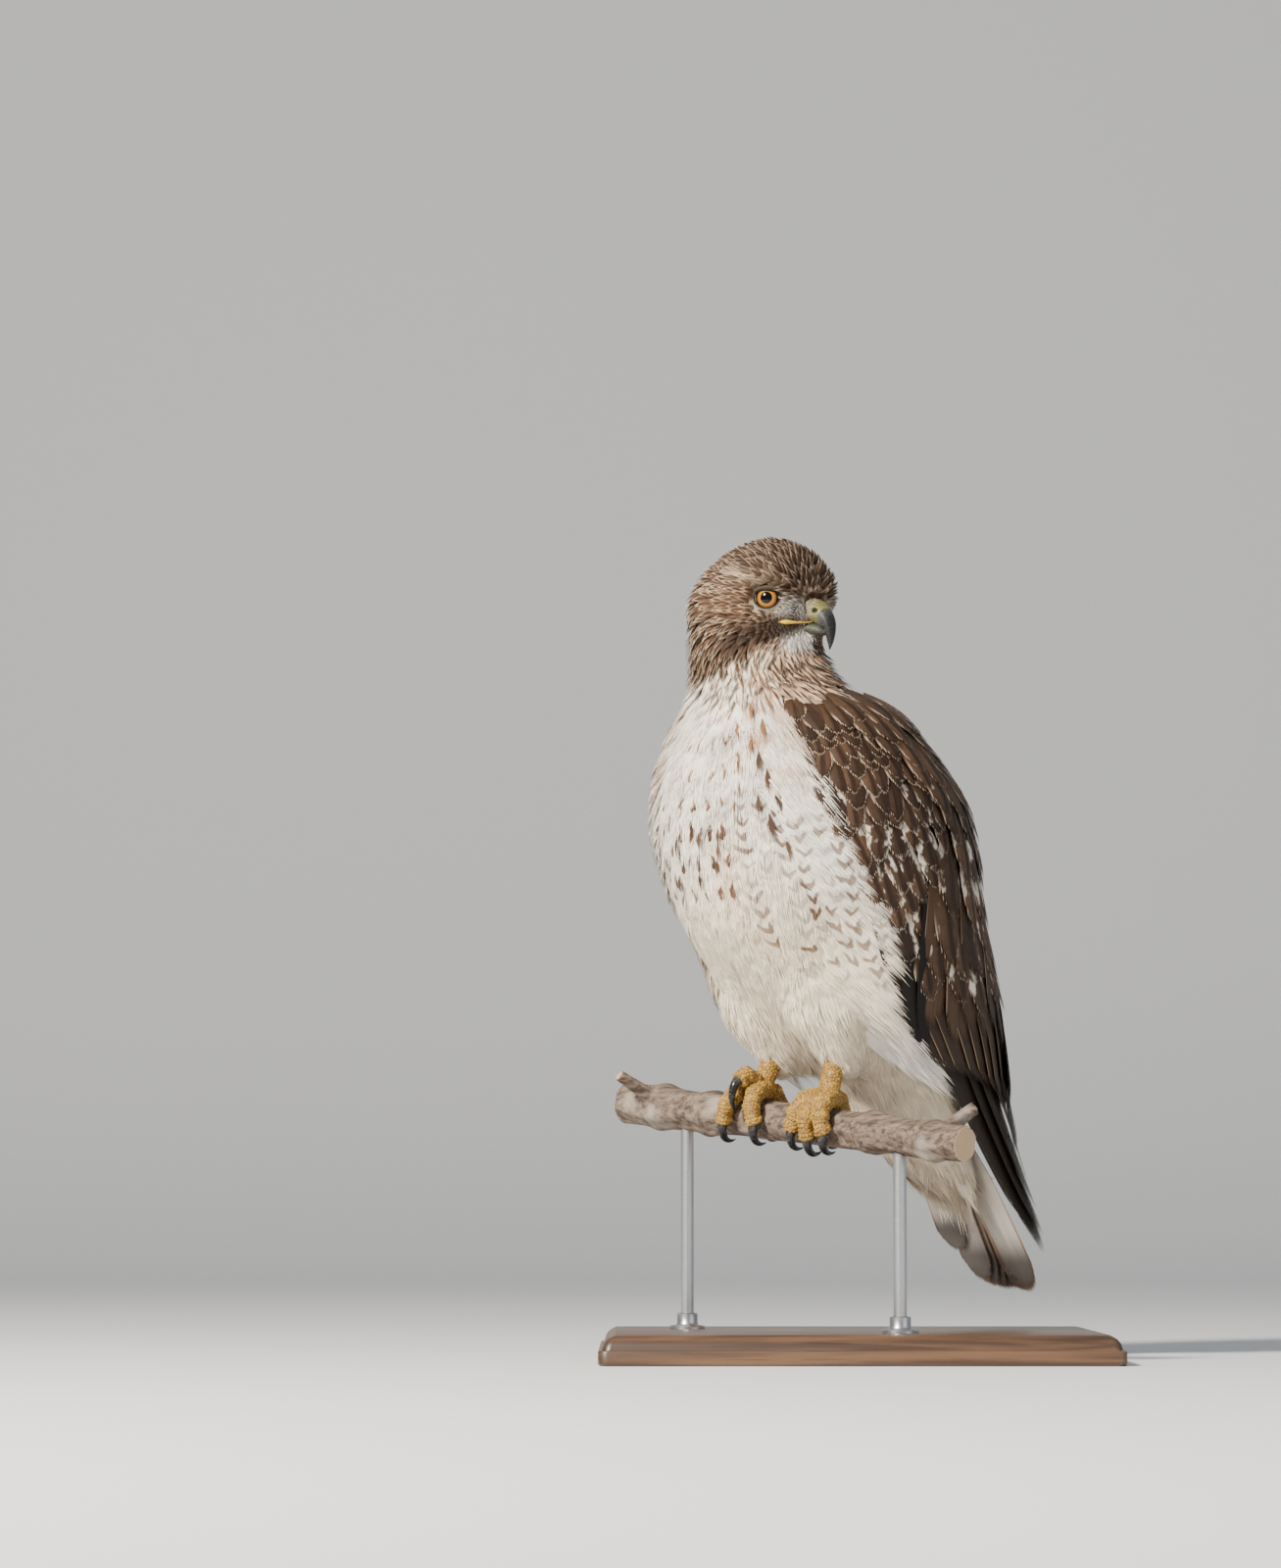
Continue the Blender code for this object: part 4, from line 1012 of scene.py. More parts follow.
soft_form = {"segments": 4, "round": 0.4, "power": 1.8, "root_width": 0.4, "overlap": 1.3, "by_place": True}
draw = np.random.default_rng(13)
soft_plumage = soft_material()
upper = Plumage("plumage_breast", soft_plumage, "feather_white")
lower = Plumage("plumage_belly", soft_plumage, "feather_white")
places, normals = spread_roots(breast_keep, 4.3, draw)
high = places[:, 2] > BREAST_LOW
for plumage, chosen in ((upper, high), (lower, ~high)):
    spots = places[chosen]
    back, low = ease(88, 118, np.abs(round_body(spots))), 1 - ease(240, 330, spots[:, 2])
    grow_on_skin(
        plumage, spots, normals[chosen],
        length=(26 + 3 * low) * draw.normal(1, 0.12, len(spots)),
        width=(15 + 2 * low) * draw.normal(1, 0.08, len(spots)),
        rise=7.0 - 1.0 * back - 2.5 * ease(0, -30, round_body(spots)), draw=draw,
        strips=14, ragged=0.2, taper=0.1, split=0.35, fray=0.025, loose=0.14, camber=0.12, **soft_form,
    )
    plumage.finish()


def leg_keep(points):
    """The lower belly, the thighs and the vent."""
    return (points[:, 2] <= BELLY_LOW) & (points[:, 2] > LEGS_LOW) & ~under_wing(points)


draw = np.random.default_rng(14)
plumage = Plumage("plumage_legs", soft_plumage, "feather_white")
places, normals = spread_roots(leg_keep, 4.2, draw)
vent = ease(160, 140, places[:, 2]) * ease(-25, -40, places[:, 0])
upper = ease(205, 228, places[:, 2])
grow_on_skin(
    plumage, places, normals,
    length=(24 + 16 * vent + 4 * upper) * draw.normal(1, 0.12, len(places)),
    width=(12 + 3 * upper) * draw.normal(1, 0.08, len(places)),
    rise=5.5 + 1.5 * upper - 1.5 * vent, follow=1 - vent, draw=draw,
    strips=10, ragged=0.3, taper=0.3, split=0.3, fray=0.04, loose=0.35, camber=0.15, **soft_form,
)
plumage.finish()


def skin_spots(angles, heights):
    """Places on the skin at angles round the body and heights, each with its normal."""
    spots, normals = [], []
    for angle, height, row in zip(np.radians(angles), heights, smooth(BODY_STATIONS, heights)):
        way = Vector((math.cos(angle), math.sin(angle), 0))
        spot, normal, _, _ = skin_tree.ray_cast(Vector((row[0], row[1], height)) + way * 200, -way)
        spots.append(spot)
        normals.append(normal)
    return np.array(spots), np.array(normals)


# Single dark drops: angle round the body, height, length of their feather, dark share, how rufous
DROPS = (
    (33, 352, 26, 0.26, 0.1), (36, 342, 26, 0.28, 0.1), (39, 331, 25, 0.34, 0), (31, 328, 22, 0.26, 0.1),
    (35, 316, 26, 0.32, 0), (40, 304, 22, 0.26, 0.2), (44, 354, 20, 0.20, 0.8), (47, 331, 18, 0.22, 0.4),
    (56, 338, 18, 0.22, 0.3), (61, 328, 18, 0.22, 0.3), (22, 327, 17, 0.14, 0.3), (9, 314, 18, 0.18, 0.2),
    (15, 311, 19, 0.24, 0.2), (-5, 307, 22, 0.26, 0), (-24, 304, 22, 0.24, 0), (7, 309, 20, 0.30, 0.1),
    (14, 303, 18, 0.20, 0.3), (-8, 286, 19, 0.34, 0), (4, 287, 18, 0.28, 0), (-20, 293, 20, 0.22, 0.1),
    (-8, 277, 16, 0.24, 0.1), (12, 281, 15, 0.22, 0.5), (17, 279, 15, 0.20, 0.5), (-15, 258, 18, 0.24, 0.2),
    (-30, 280, 20, 0.26, 0.1), (-36, 300, 22, 0.26, 0.1), (-44, 318, 24, 0.28, 0.1), (-14, 300, 18, 0.2, 0.2),
    (1, 298, 16, 0.18, 0.3), (-33, 332, 24, 0.28, 0.1), (-40, 350, 25, 0.30, 0.1), (36, 372, 24, 0.26, 1),
    (31, 383, 24, 0.2, 1), (30, 362, 20, 0.2, 1), (41, 386, 20, 0.22, 1), (25, 350, 18, 0.10, 1),
    (20, 366, 20, 0.09, 1), (48, 372, 20, 0.2, 0.8), (53, 358, 20, 0.2, 0.6), (-52, 362, 22, 0.2, 0.6),
    (-58, 340, 20, 0.22, 0.3),
)
draw = np.random.default_rng(15)
marked_plumage = feather_material("marked_plumage", 14.0, 0.75, 0.3, 3.0, Sheen_Weight=0.12)
plumage = Plumage("plumage_marked", marked_plumage, "feather_white")
angles, heights, lengths, dark, rufous = np.array(DROPS).T
lengths, widths = 0.8 * lengths, 0.6 * lengths * dark
places, normals = skin_spots(angles, heights + 0.5 * lengths)
none = np.zeros(len(places))
streak = tinted((0.060, 0.030, 0.017), (0.25, 0.115, 0.05), rufous)
grow_on_skin(
    plumage, places, normals, length=lengths, width=widths, rise=1.2, sink=1.5,
    lift=8.0 - 2.5 * ease(0, -30, angles), draw=draw, marks=(streak, streak, streak, none, none, none + 0.3),
    strips=7, segments=6, round=0.6, power=1.3, ragged=0.3, root_width=0.12, taper=0.1, split=0.5, fray=0.05,
    loose=0.12, camber=0.1, overlap=1.2,
)
plumage.finish()


# --- The folded wings ---
# The arm lies along the body under rows of coverts, each row over the roots of the next. Below them
# hang the secondaries and, beneath those, the long primaries that make the wing's point.

# Wing stations: height, middle X, half length, half width, angles of the front and rear edges
WING_STATIONS = (
    (60, -145, 22, 29, 92, 150),
    (66, -141, 25, 32, 90, 153),
    (88, -120, 36, 39, 88, 156),
    (112, -93, 47, 46, 87, 160),
    (142, -57, 66, 54, 86, 167),
    (172, -26, 84, 68, 79, 172),
    (196, -10, 97, 79, 73, 173),
    (222, 4, 101, 86, 68, 174),
    (250, 17, 103, 91, 64, 175),
    (298, 33, 106, 97, 59, 175),
    (322, 38, 106, 97, 57, 175),
    (346, 42, 97, 94, 55, 174),
    (370, 48, 79, 85, 53, 172),
    (394, 55, 62, 70, 51, 166),
    (404, 59, 52, 58, 50, 158),
)
ARM_LOW, ARM_HIGH = 228, 399
ARM_COVER, ARM_DEPTH = 6.5, 14


def wing_face(height, share):
    """Points on the outer face of the folded left wing, share 0 at its front edge, 1 at its rear."""
    height = np.atleast_1d(np.asarray(height, float))
    middle, length, width, front, back = smooth(WING_STATIONS, height).T
    angle = np.radians(front + (back - front) * share)
    return np.stack((middle + length * np.cos(angle), width * np.sin(angle), height), 1)


def wing_out(height, share):
    """The wing face's outward normals there."""
    height = np.atleast_1d(np.asarray(height, float))
    across = wing_face(height, share + 0.02) - wing_face(height, share - 0.02)
    upward = wing_face(height + 2, share) - wing_face(height - 2, share)
    return unit(np.cross(across, upward))


def finished(made, material, slot_name, *replaced):
    shape = bmesh.new()
    shape.from_mesh(made.data)
    bmesh.ops.recalc_face_normals(shape, faces=shape.faces)
    shape.to_mesh(made.data)
    shape.free()
    made.data.shade_smooth()
    made.data.materials.append(material)
    return declared(made, slot_name, *replaced)


def wing_arm(word, side):
    """The arm under the coverts, feathered close to the bone."""
    rows, columns = 30, 24
    rings = []
    for height in np.linspace(ARM_LOW, ARM_HIGH, rows):
        front = 0.05 + 0.2 * (1 - ease(ARM_LOW, 280, height))
        shares = np.linspace(front, 0.96, columns)
        face, out = wing_face(np.full(columns, height), shares), wing_out(np.full(columns, height), shares)
        tuck = 6 * (1 - ease(0, 0.2, shares - front)) + 3 * ease(385, ARM_HIGH, height)
        depth = ARM_COVER + 2 + ARM_DEPTH * ease(ARM_LOW, 310, height)
        outer, inner = (face - out * (deep + tuck)[:, None] for deep in (ARM_COVER, depth))
        rings.append(np.concatenate((outer, inner[::-1])))
    made = solid(f"wing_{word}_arm", np.concatenate(rings) * (1, side, 1), ring_faces(rows, 2 * columns))
    for name in ("middle", "streak", "marks"):
        colour_attribute(made.data, name, np.tile(CHOCOLATE, (len(made.data.vertices), 1)))
    finished(made, skin.data.materials[0], "feather_brown")


def wing_feathers(plumage, side, root, tip, width, marks, draw, **form):
    """Feathers on the wing's face, from roots to tips given as heights and shares of its width."""
    root, tip = np.array(root), np.array(tip)
    start, middle, end = (wing_face(*(root + (tip - root) * t).T) for t in (0, 0.5, 1))
    run, bend = -3 * start + 4 * middle - end, 2 * start - 4 * middle + 2 * end
    parts = (start, run, bend, wing_out(*root.T), wing_out(*tip.T))
    start, run, bend, root_out, tip_out = (part * (1, side, 1) for part in parts)
    form["lean"] = side * form.get("lean", 0.0)
    length = np.linalg.norm(run + bend, axis=1)
    grown = vanes(start, run, bend, root_out, tip_out, length, width, draw=draw, **form)
    spots = np.stack((root[:, 1] * 0.9 + 0.05, (root[:, 0] - 40) / 380), 1)
    plumage.add(grown, spots, marks, draw)


def row_marks(count, middle, rim, streak, streak_width, bars, rim_width, *blotched):
    """One set of markings for a row of feathers."""
    colours = [np.broadcast_to(colour, (count, 3)) for colour in (middle, rim, streak)]
    widths = [np.full(count, width) for width in (streak_width, bars, rim_width)]
    return (*colours, *widths, *blotched)


# How far back the wing's front part is seen, as far as the scapulars above and the gap below
FRONT_PART = (
    (191, 0.04), (222, 0.11), (254, 0.18), (286, 0.27), (314, 0.37), (340, 0.48), (363, 0.40), (380, 0.31),
    (404, 0.14),
)
# How far the flank's soft feathers reach over the wing
FLANK_COVER = (
    (150, 0.02), (171, 0.02), (197, -0.01), (211, 0.02), (225, 0.08), (240, 0.115), (254, 0.125), (266, 0.10),
    (280, 0.08), (308, 0.07), (328, 0.045), (346, 0.01), (360, -0.02), (395, -0.04),
)
# Scapulars and the coverts of the rear part, lowest row first: how many, root height, length, first
# and last share of the wing's width, width, lift
SCAPULAR_ROWS = (
    (7, 258, 46, 0.24, 0.93, 22, -1.2),
    (7, 275, 50, 0.30, 0.93, 23, -0.9),
    (6, 292, 58, 0.36, 0.93, 24, -0.6),
    (6, 314, 52, 0.44, 0.93, 23, -0.2),
    (6, 334, 50, 0.51, 0.95, 23, 0.2),
    (6, 352, 48, 0.50, 0.95, 22, 0.6),
    (7, 366, 42, 0.45, 0.95, 20, 0.9),
    (8, 378, 36, 0.39, 0.95, 18, 1.1),
    (9, 387, 31, 0.31, 0.95, 16, 1.3),
    (10, 394, 27, 0.24, 0.95, 15, 1.4),
    (11, 400, 24, 0.17, 0.94, 13, 1.5),
)
# Primaries: height and share of each root and tip, the shortest on top
PRIMARIES = (
    ((250, 0.44), (128, 0.84)),
    ((250, 0.40), (110, 0.72)),
    ((250, 0.36), (93, 0.60)),
    ((250, 0.32), (77, 0.49)),
    ((250, 0.28), (62, 0.37)),
    ((250, 0.24), (76, 0.24)),
)
flight_plumage = feather_material("flight_plumage", 90.0, 0.5, 1.0, 6.0)
covert_plumage = feather_material("covert_plumage", 30.0, 0.55, 0.9)
covert_form = {
    "strips": 14, "segments": 6, "round": 0.36, "power": 2.0, "ragged": 0.06, "root_width": 0.5,
    "taper": 0.05, "split": 0.8, "fray": 0.012, "loose": 0.08, "camber": 0.22, "lean": 0.06,
}
flight_form = {
    "strips": 24, "segments": 22, "round": 0.14, "power": 2.4, "ragged": 0.012, "root_width": 0.6,
    "split": 0.94, "fray": 0.004, "loose": 0.04, "camber": 0.07,
}
for number, (word, side) in enumerate(SIDES):
    wing_arm(word, side)
    draw = np.random.default_rng(21 + number)
    flight = Plumage(f"wing_{word}_flight", flight_plumage, "feather_brown")
    marks = row_marks(1, (0.024, 0.016, 0.011), (0.06, 0.035, 0.02), (0.012, 0.008, 0.006), 0.05, 0.3, 0.5)
    for layer, (root, tip) in enumerate(PRIMARIES):
        lift = -6.0 - 1.4 * layer
        wing_feathers(flight, side, (root,), (tip,), 21, marks, draw, lift=lift, taper=0.3, **flight_form)
    count = 13
    part = (np.arange(count) + draw.normal(0, 0.12, count)) / (count - 1)
    front = 0.08 if side > 0 else 0.16
    root = np.stack((272 - 6 * part, front + (0.93 - front) * part), 1)
    tip = np.stack((174 - 20 * part + draw.normal(0, 2.5, count), front + 0.04 + (0.90 - front) * part), 1)
    middle = tinted((0.028, 0.016, 0.010), MID_BROWN, draw.random(count) * 0.2)
    marks = row_marks(count, middle, (0.34, 0.22, 0.13), (0.020, 0.012, 0.007), 0.04, 0.6, 0.8)
    wing_feathers(
        flight, side, root, tip, 27, marks, draw, sink=1.5, lift=-3.4, taper=0.1, lean=0.1, **flight_form
    )
    # Near-black feathers painted as the shadowed hollow between the wing's two parts, then the tertials
    # behind it
    root = ((352, 0.51), (250, 0.15))
    tip = np.array(((192, 0.01), (182, 0.0))) + (0, 0.1 * (side < 0))
    marks = row_marks(2, (0.006, 0.004, 0.003), (0.006, 0.004, 0.003), (0.004, 0.003, 0.002), 0.1, 0.0, 0.3)
    wing_feathers(
        flight, side, root, tip, (9, 15), marks, draw, lift=(-0.9, -1.2), taper=0.2, lean=0.1, **flight_form
    )
    count = 8
    part = np.arange(count) / (count - 1)
    root = np.stack((350 + 4 * part, 0.56 + 0.37 * part), 1)
    low = 196 - 6 * part + draw.normal(0, 4, count)
    tip = np.stack((low, 0.10 + 0.66 * part + draw.normal(0, 0.01, count)), 1)
    middle = tinted((0.036, 0.020, 0.012), MID_BROWN, draw.random(count) * 0.35)
    blotched = draw.random(count) * 0.45
    marks = row_marks(count, middle, (0.44, 0.31, 0.20), (0.022, 0.013, 0.008), 0.08, 0.0, 0.7, blotched)
    lift = -2.6 + 0.17 * np.arange(count)
    wing_feathers(
        flight, side, root, tip, 27, marks, draw, sink=1.5, lift=lift, taper=0.1, lean=0.1, **flight_form
    )
    flight.finish(f"wing_{word}")
    coverts = Plumage(f"wing_{word}_coverts", covert_plumage, "feather_brown")
    heights = 398 - np.cumsum((0, *np.linspace(7.5, 13, 12)))
    for row in reversed(range(len(heights))):
        low = row / (len(heights) - 1)
        long, wide = 21 + 15 * low, 13 + 7 * low
        back = np.interp(heights[row] - 0.5 * long, *np.array(FRONT_PART).T)
        first = np.interp(heights[row] - 0.7 * long, *np.array(FLANK_COVER).T) + 0.005 + 0.03 * (side < 0)
        count = int(round((back - first) * 185 / (0.66 * wide))) + 1
        part = (np.arange(count) + draw.normal(0, 0.2, count)) / max(count - 1, 1)
        root = np.stack((heights[row] + draw.normal(0, 2.0, count), first + (back - first) * part), 1)
        reach = long * draw.normal(1, 0.08, count)
        tip = np.stack((root[:, 0] - reach, root[:, 1] - 0.004 + draw.normal(0, 0.014, count)), 1)
        middle = tinted((0.034, 0.018, 0.011), MID_BROWN, draw.random(count) * (0.3 + 0.45 * low))
        rim = tinted((0.68, 0.50, 0.34), (0.82, 0.74, 0.62), draw.random(count) * (0.3 + low))
        blotched = np.clip(draw.normal(0.1 + 0.9 * ease(0.3, 0.65, low), 0.25, count), 0, 1)
        marks = row_marks(count, middle, rim, CHOCOLATE, 0.28, 0.2 * low, 1.5, blotched)
        wing_feathers(
            coverts, side, root, tip, wide * draw.normal(1, 0.1, count), marks, draw, rise=2.4, sink=2.5,
            lift=-2.6 + draw.normal(0.9 - low, 0.3, count), **covert_form,
        )
    for count, height, long, first, last, wide, lift in SCAPULAR_ROWS:
        part = (np.arange(count) + draw.normal(0, 0.1, count)) / (count - 1)
        root = np.stack((height + draw.normal(0, 2.5, count), first + (last - first) * part), 1)
        forward = np.interp(root[:, 0], (300, 350, 400), (0.10, 0.05, 0.0)) * (1 - part)
        tip = np.stack((root[:, 0] - long * draw.normal(1, 0.07, count), root[:, 1] + 0.01 - forward), 1)
        middle = tinted((0.042, 0.023, 0.014), MID_BROWN, draw.random(count) * 0.6)
        rim = tinted((0.60, 0.42, 0.27), (0.78, 0.68, 0.56), draw.random(count) * 0.8)
        white = np.interp(height, (290, 345, 380), (0.8, 0.7, 0.1))
        blotched = np.clip(draw.normal(white, 0.2, count), 0, 1)
        marks = row_marks(count, middle, rim, CHOCOLATE, 0.28, 0.2, 1.4, blotched)
        wing_feathers(
            coverts, side, root, tip, wide * draw.normal(1, 0.08, count), marks, draw, rise=2.0, sink=3.0,
            lift=lift + draw.normal(0, 0.3, count), **covert_form,
        )
    coverts.finish()
    # Soft flank feathers over the wing's front edge, their loose ends white against the brown
    flank = Plumage(f"plumage_flank_{word}", soft_plumage, "feather_white")
    rows = 7
    for row in range(rows):
        heights = np.arange(158, 374, 3.6)
        count = len(heights)
        heights = heights + draw.normal(0, 1.6, count)
        cover = np.interp(heights, *np.array(FLANK_COVER).T) - 0.026 * row + draw.normal(0, 0.008, count)
        long = 25 * draw.normal(1, 0.15, count)
        tip = np.stack((heights, cover), 1)
        root = np.stack((heights + long, cover - 0.075 + draw.normal(0, 0.012, count)), 1)
        face, end = (wing_face(np.clip(at[:, 0], 62, 403), at[:, 1]) * (1, side, 1) for at in (root, tip))
        deep, deep_end = (
            np.array([skin_tree.find_nearest(spot)[3] for spot in part.tolist()]) for part in (face, end)
        )
        lift = draw.normal(0.9, 0.4, count) - np.clip(deep_end - 6.5, 0, 30) * row / (rows - 1)
        middle, _, streak, streak_width, bars, rim_width = markings(face)
        # Greyed most on the rows furthest back over the wing, as painted shade, and whiter low down
        middle = tinted(tinted(middle, GREY_WHITE, 0.4 - 0.06 * row), WHITE, ease(200, 160, heights))
        wing_feathers(
            flank, side, root, tip, 12 * draw.normal(1, 0.1, count),
            (middle, middle, streak, streak_width * 0, bars * 0.8, rim_width), draw, rise=0.6,
            sink=deep - 1 + lift, lift=lift, strips=11, segments=5, round=0.4, power=1.6, ragged=0.35,
            root_width=0.5, taper=0.1, split=0.2, fray=0.07, loose=0.45, camber=0.15, overlap=1.0,
        )
    flank.finish()


# --- The tail ---
# Twelve flight feathers hang from the rump, the middle pair on top and the outermost beneath. Their
# upper side is brick red with a thin dark band, and their under side is whitish with white shafts.

TAIL_ROOT, TAIL_TIP = np.array((-71, 0, 150)), np.array((-135, 0, 38))
TAIL_SHORTER = ((0, 0, 1, 2, 3, 5), (0, 1, 3, 6, 10, 34))
TAIL_SPREAD = ((2.3, 6.9, 11.5, 16, 20.5, 25), (2.3, 5.5, 8.5, 11.5, 14.5, 25))


def tail_material(name, bands):
    """Vanes with bands across: where each begins, is full, fades and ends, its colour and its share."""
    wires, colour = reopened(feather_material(name, 90.0, 0.5, 1.0))
    along = wires.add("ShaderNodeSeparateXYZ", i0=wires.uv("vane")).outputs[1]
    for begins, full, fades, ends, tone, share in bands:
        inside = wires.times(wires.ramp(along, begins, full), wires.ramp(along, ends, fades))
        colour = wires.mix(wires.times(inside, share), colour, tone)
    return wires.finish(colour)


draw = np.random.default_rng(31)
# The under side darkens towards its end: partly the feathers' own dark band, partly painted shadow
under_band_and_shadow = ((0.62, 0.84, 0.985, 0.997, (0.060, 0.052, 0.047), 0.93),)
upper_bands = ((0.885, 0.895, 0.92, 0.935, CHOCOLATE, 1.0), (0.955, 0.985, 1.1, 1.2, BUFF, 1.0))
tail = Plumage("tail_feathers", tail_material("tail_under", under_band_and_shadow), "feather_red")
tail_top = Plumage("tail_feathers_top", tail_material("tail_top", upper_bands), "feather_red")
tail_down = unit(TAIL_TIP - TAIL_ROOT)
tail_out = np.cross((0, 1, 0), tail_down)
under = row_marks(1, (0.76, 0.71, 0.64), (0.46, 0.27, 0.15), WHITE, 0.12, 0.0, 1.3)
above = row_marks(1, (0.42, 0.13, 0.04), (0.50, 0.20, 0.08), (0.22, 0.07, 0.025), 0.04, 0.0, 0.7)
for layer in range(12):
    rank, right = divmod(layer, 2)
    aside = (1 - 2 * right) * TAIL_SPREAD[right][rank]
    long = np.linalg.norm(TAIL_TIP - TAIL_ROOT) - TAIL_SHORTER[right][rank]
    start = TAIL_ROOT + np.array((0, aside * 0.6, 0)) + tail_out * 1.05 * (5.5 - layer)
    run = tail_down * long + np.array((0, aside * 0.4, 0))
    for piece, marks, higher in ((tail, under, 0.0), (tail_top, above, 0.45)):
        grown = vanes(
            (start + tail_out * higher)[None], run[None], np.zeros((1, 3)), tail_out[None], tail_out[None],
            long, 26.0, draw=np.random.default_rng(layer), taper=0.05, **flight_form,
        )
        piece.add(grown, np.array([(0.5 + aside / 60, 0.5)]), marks, draw)
tail.finish("tail")
tail_top.finish()


def vent_keep(points):
    """The rump's under side, round the tail's root."""
    return (points[:, 2] < 152) & (points[:, 2] > 108) & (points[:, 0] < -32)


# The long soft feathers under the tail and over its root
plumage = Plumage("plumage_vent", soft_plumage, "feather_white")
places, normals = spread_roots(vent_keep, 5, draw)
count = len(places)
above = ease(0, 14, (places - TAIL_ROOT) @ tail_out)
middle, _, streak, _, bars, rim_width = markings(places)
middle = tinted(tinted(middle, GREY_WHITE, 0.3), (0.36, 0.22, 0.13), above)
grow_on_skin(
    plumage, places, normals, length=42 * draw.normal(1, 0.24, count), width=11 * draw.normal(1, 0.2, count),
    rise=3.8 + draw.normal(0, 1.2, count) - 2 * above, follow=0.25, draw=draw,
    marks=(middle, middle, streak, 0 * bars, 0 * bars, rim_width), stray=0.22, strips=14, segments=6,
    round=0.35, power=1.4, ragged=0.6, root_width=0.5, taper=0.1, split=0.45, fray=0.14, loose=0.7,
    camber=0.15, overlap=0.75,
)
plumage.finish()


# --- The eyes and their lids ---
# A hawk's eye is nearly as wide as its socket: an amber iris round a black pupil under a clear
# cornea. Black-edged lids of bare skin close round it, the upper one straight below the brow.

EYE_RADIUS = 9.5
IRIS_RADIUS = 6.4
PUPIL_RADIUS = 3.5
IRIS_AIM = math.radians(55)
LID_HALF_WIDTH, LID_DROP, LID_RISE = 7.0, 5.6, 4.3
LID_SIDES = 96
# The lid's section, from inside the eyeball outwards: size against the opening, height over the ball
LID_PROFILE = (
    (0.96, -0.6), (1.0, 0.25), (1.06, 0.8), (1.14, 1.0), (1.24, 0.85), (1.38, 0.3), (1.54, -0.9), (1.66, -3),
)


def eye_material():
    """A wet glossy eyeball: pupil, amber iris with fine spokes, and a black edge."""
    wires = new_material("eye_gloss", 0.05, Specular_IOR_Level=0.25, Coat_Weight=0.08, Coat_Roughness=0.02)
    # The map as millimetres from the pupil's middle
    centred = wires.mapped(wires.uv("iris"), Location=(-10, -10, 0), Scale=(20, 20, 1))
    away = wires.vector("LENGTH", centred)["Value"]
    x, y, _ = wires.add("ShaderNodeSeparateXYZ", i0=centred).outputs
    turn = wires.math("ARCTAN2", y, x)
    polar = wires.add("ShaderNodeCombineXYZ", i0=wires.times(turn, 7.0), i1=away).outputs[0]
    spokes = wires.noise(polar, 1.4, 4.0)
    amber = wires.mix(wires.ramp(away, PUPIL_RADIUS, IRIS_RADIUS), (0.40, 0.165, 0.014), (0.16, 0.055, 0.006))
    amber = wires.mix(wires.ramp(spokes, 0.42, 0.8), amber, (0.50, 0.24, 0.03))
    pupil_edge = wires.ramp(away, PUPIL_RADIUS - 0.12, PUPIL_RADIUS + 0.12)
    colour = wires.mix(pupil_edge, (0.002, 0.002, 0.002), amber)
    iris_edge = wires.ramp(away, IRIS_RADIUS - 1.4, IRIS_RADIUS - 0.1)
    return wires.finish(wires.mix(iris_edge, colour, (0.02, 0.006, 0.002)))


def lid_material():
    """Bare lid skin, black along the edge and pale grey outside it."""
    wires = new_material("lid_skin", 0.6, Specular_IOR_Level=0.15)
    folds = wires.noise(wires.place(), 1800.0, 3.0)
    colour = wires.mix(wires.ramp(folds, 0.3, 0.8), wires.stored("tone"), (0.75, 0.72, 0.68), "MULTIPLY")
    return wires.finish(colour, folds, 0.4, 0.0002)


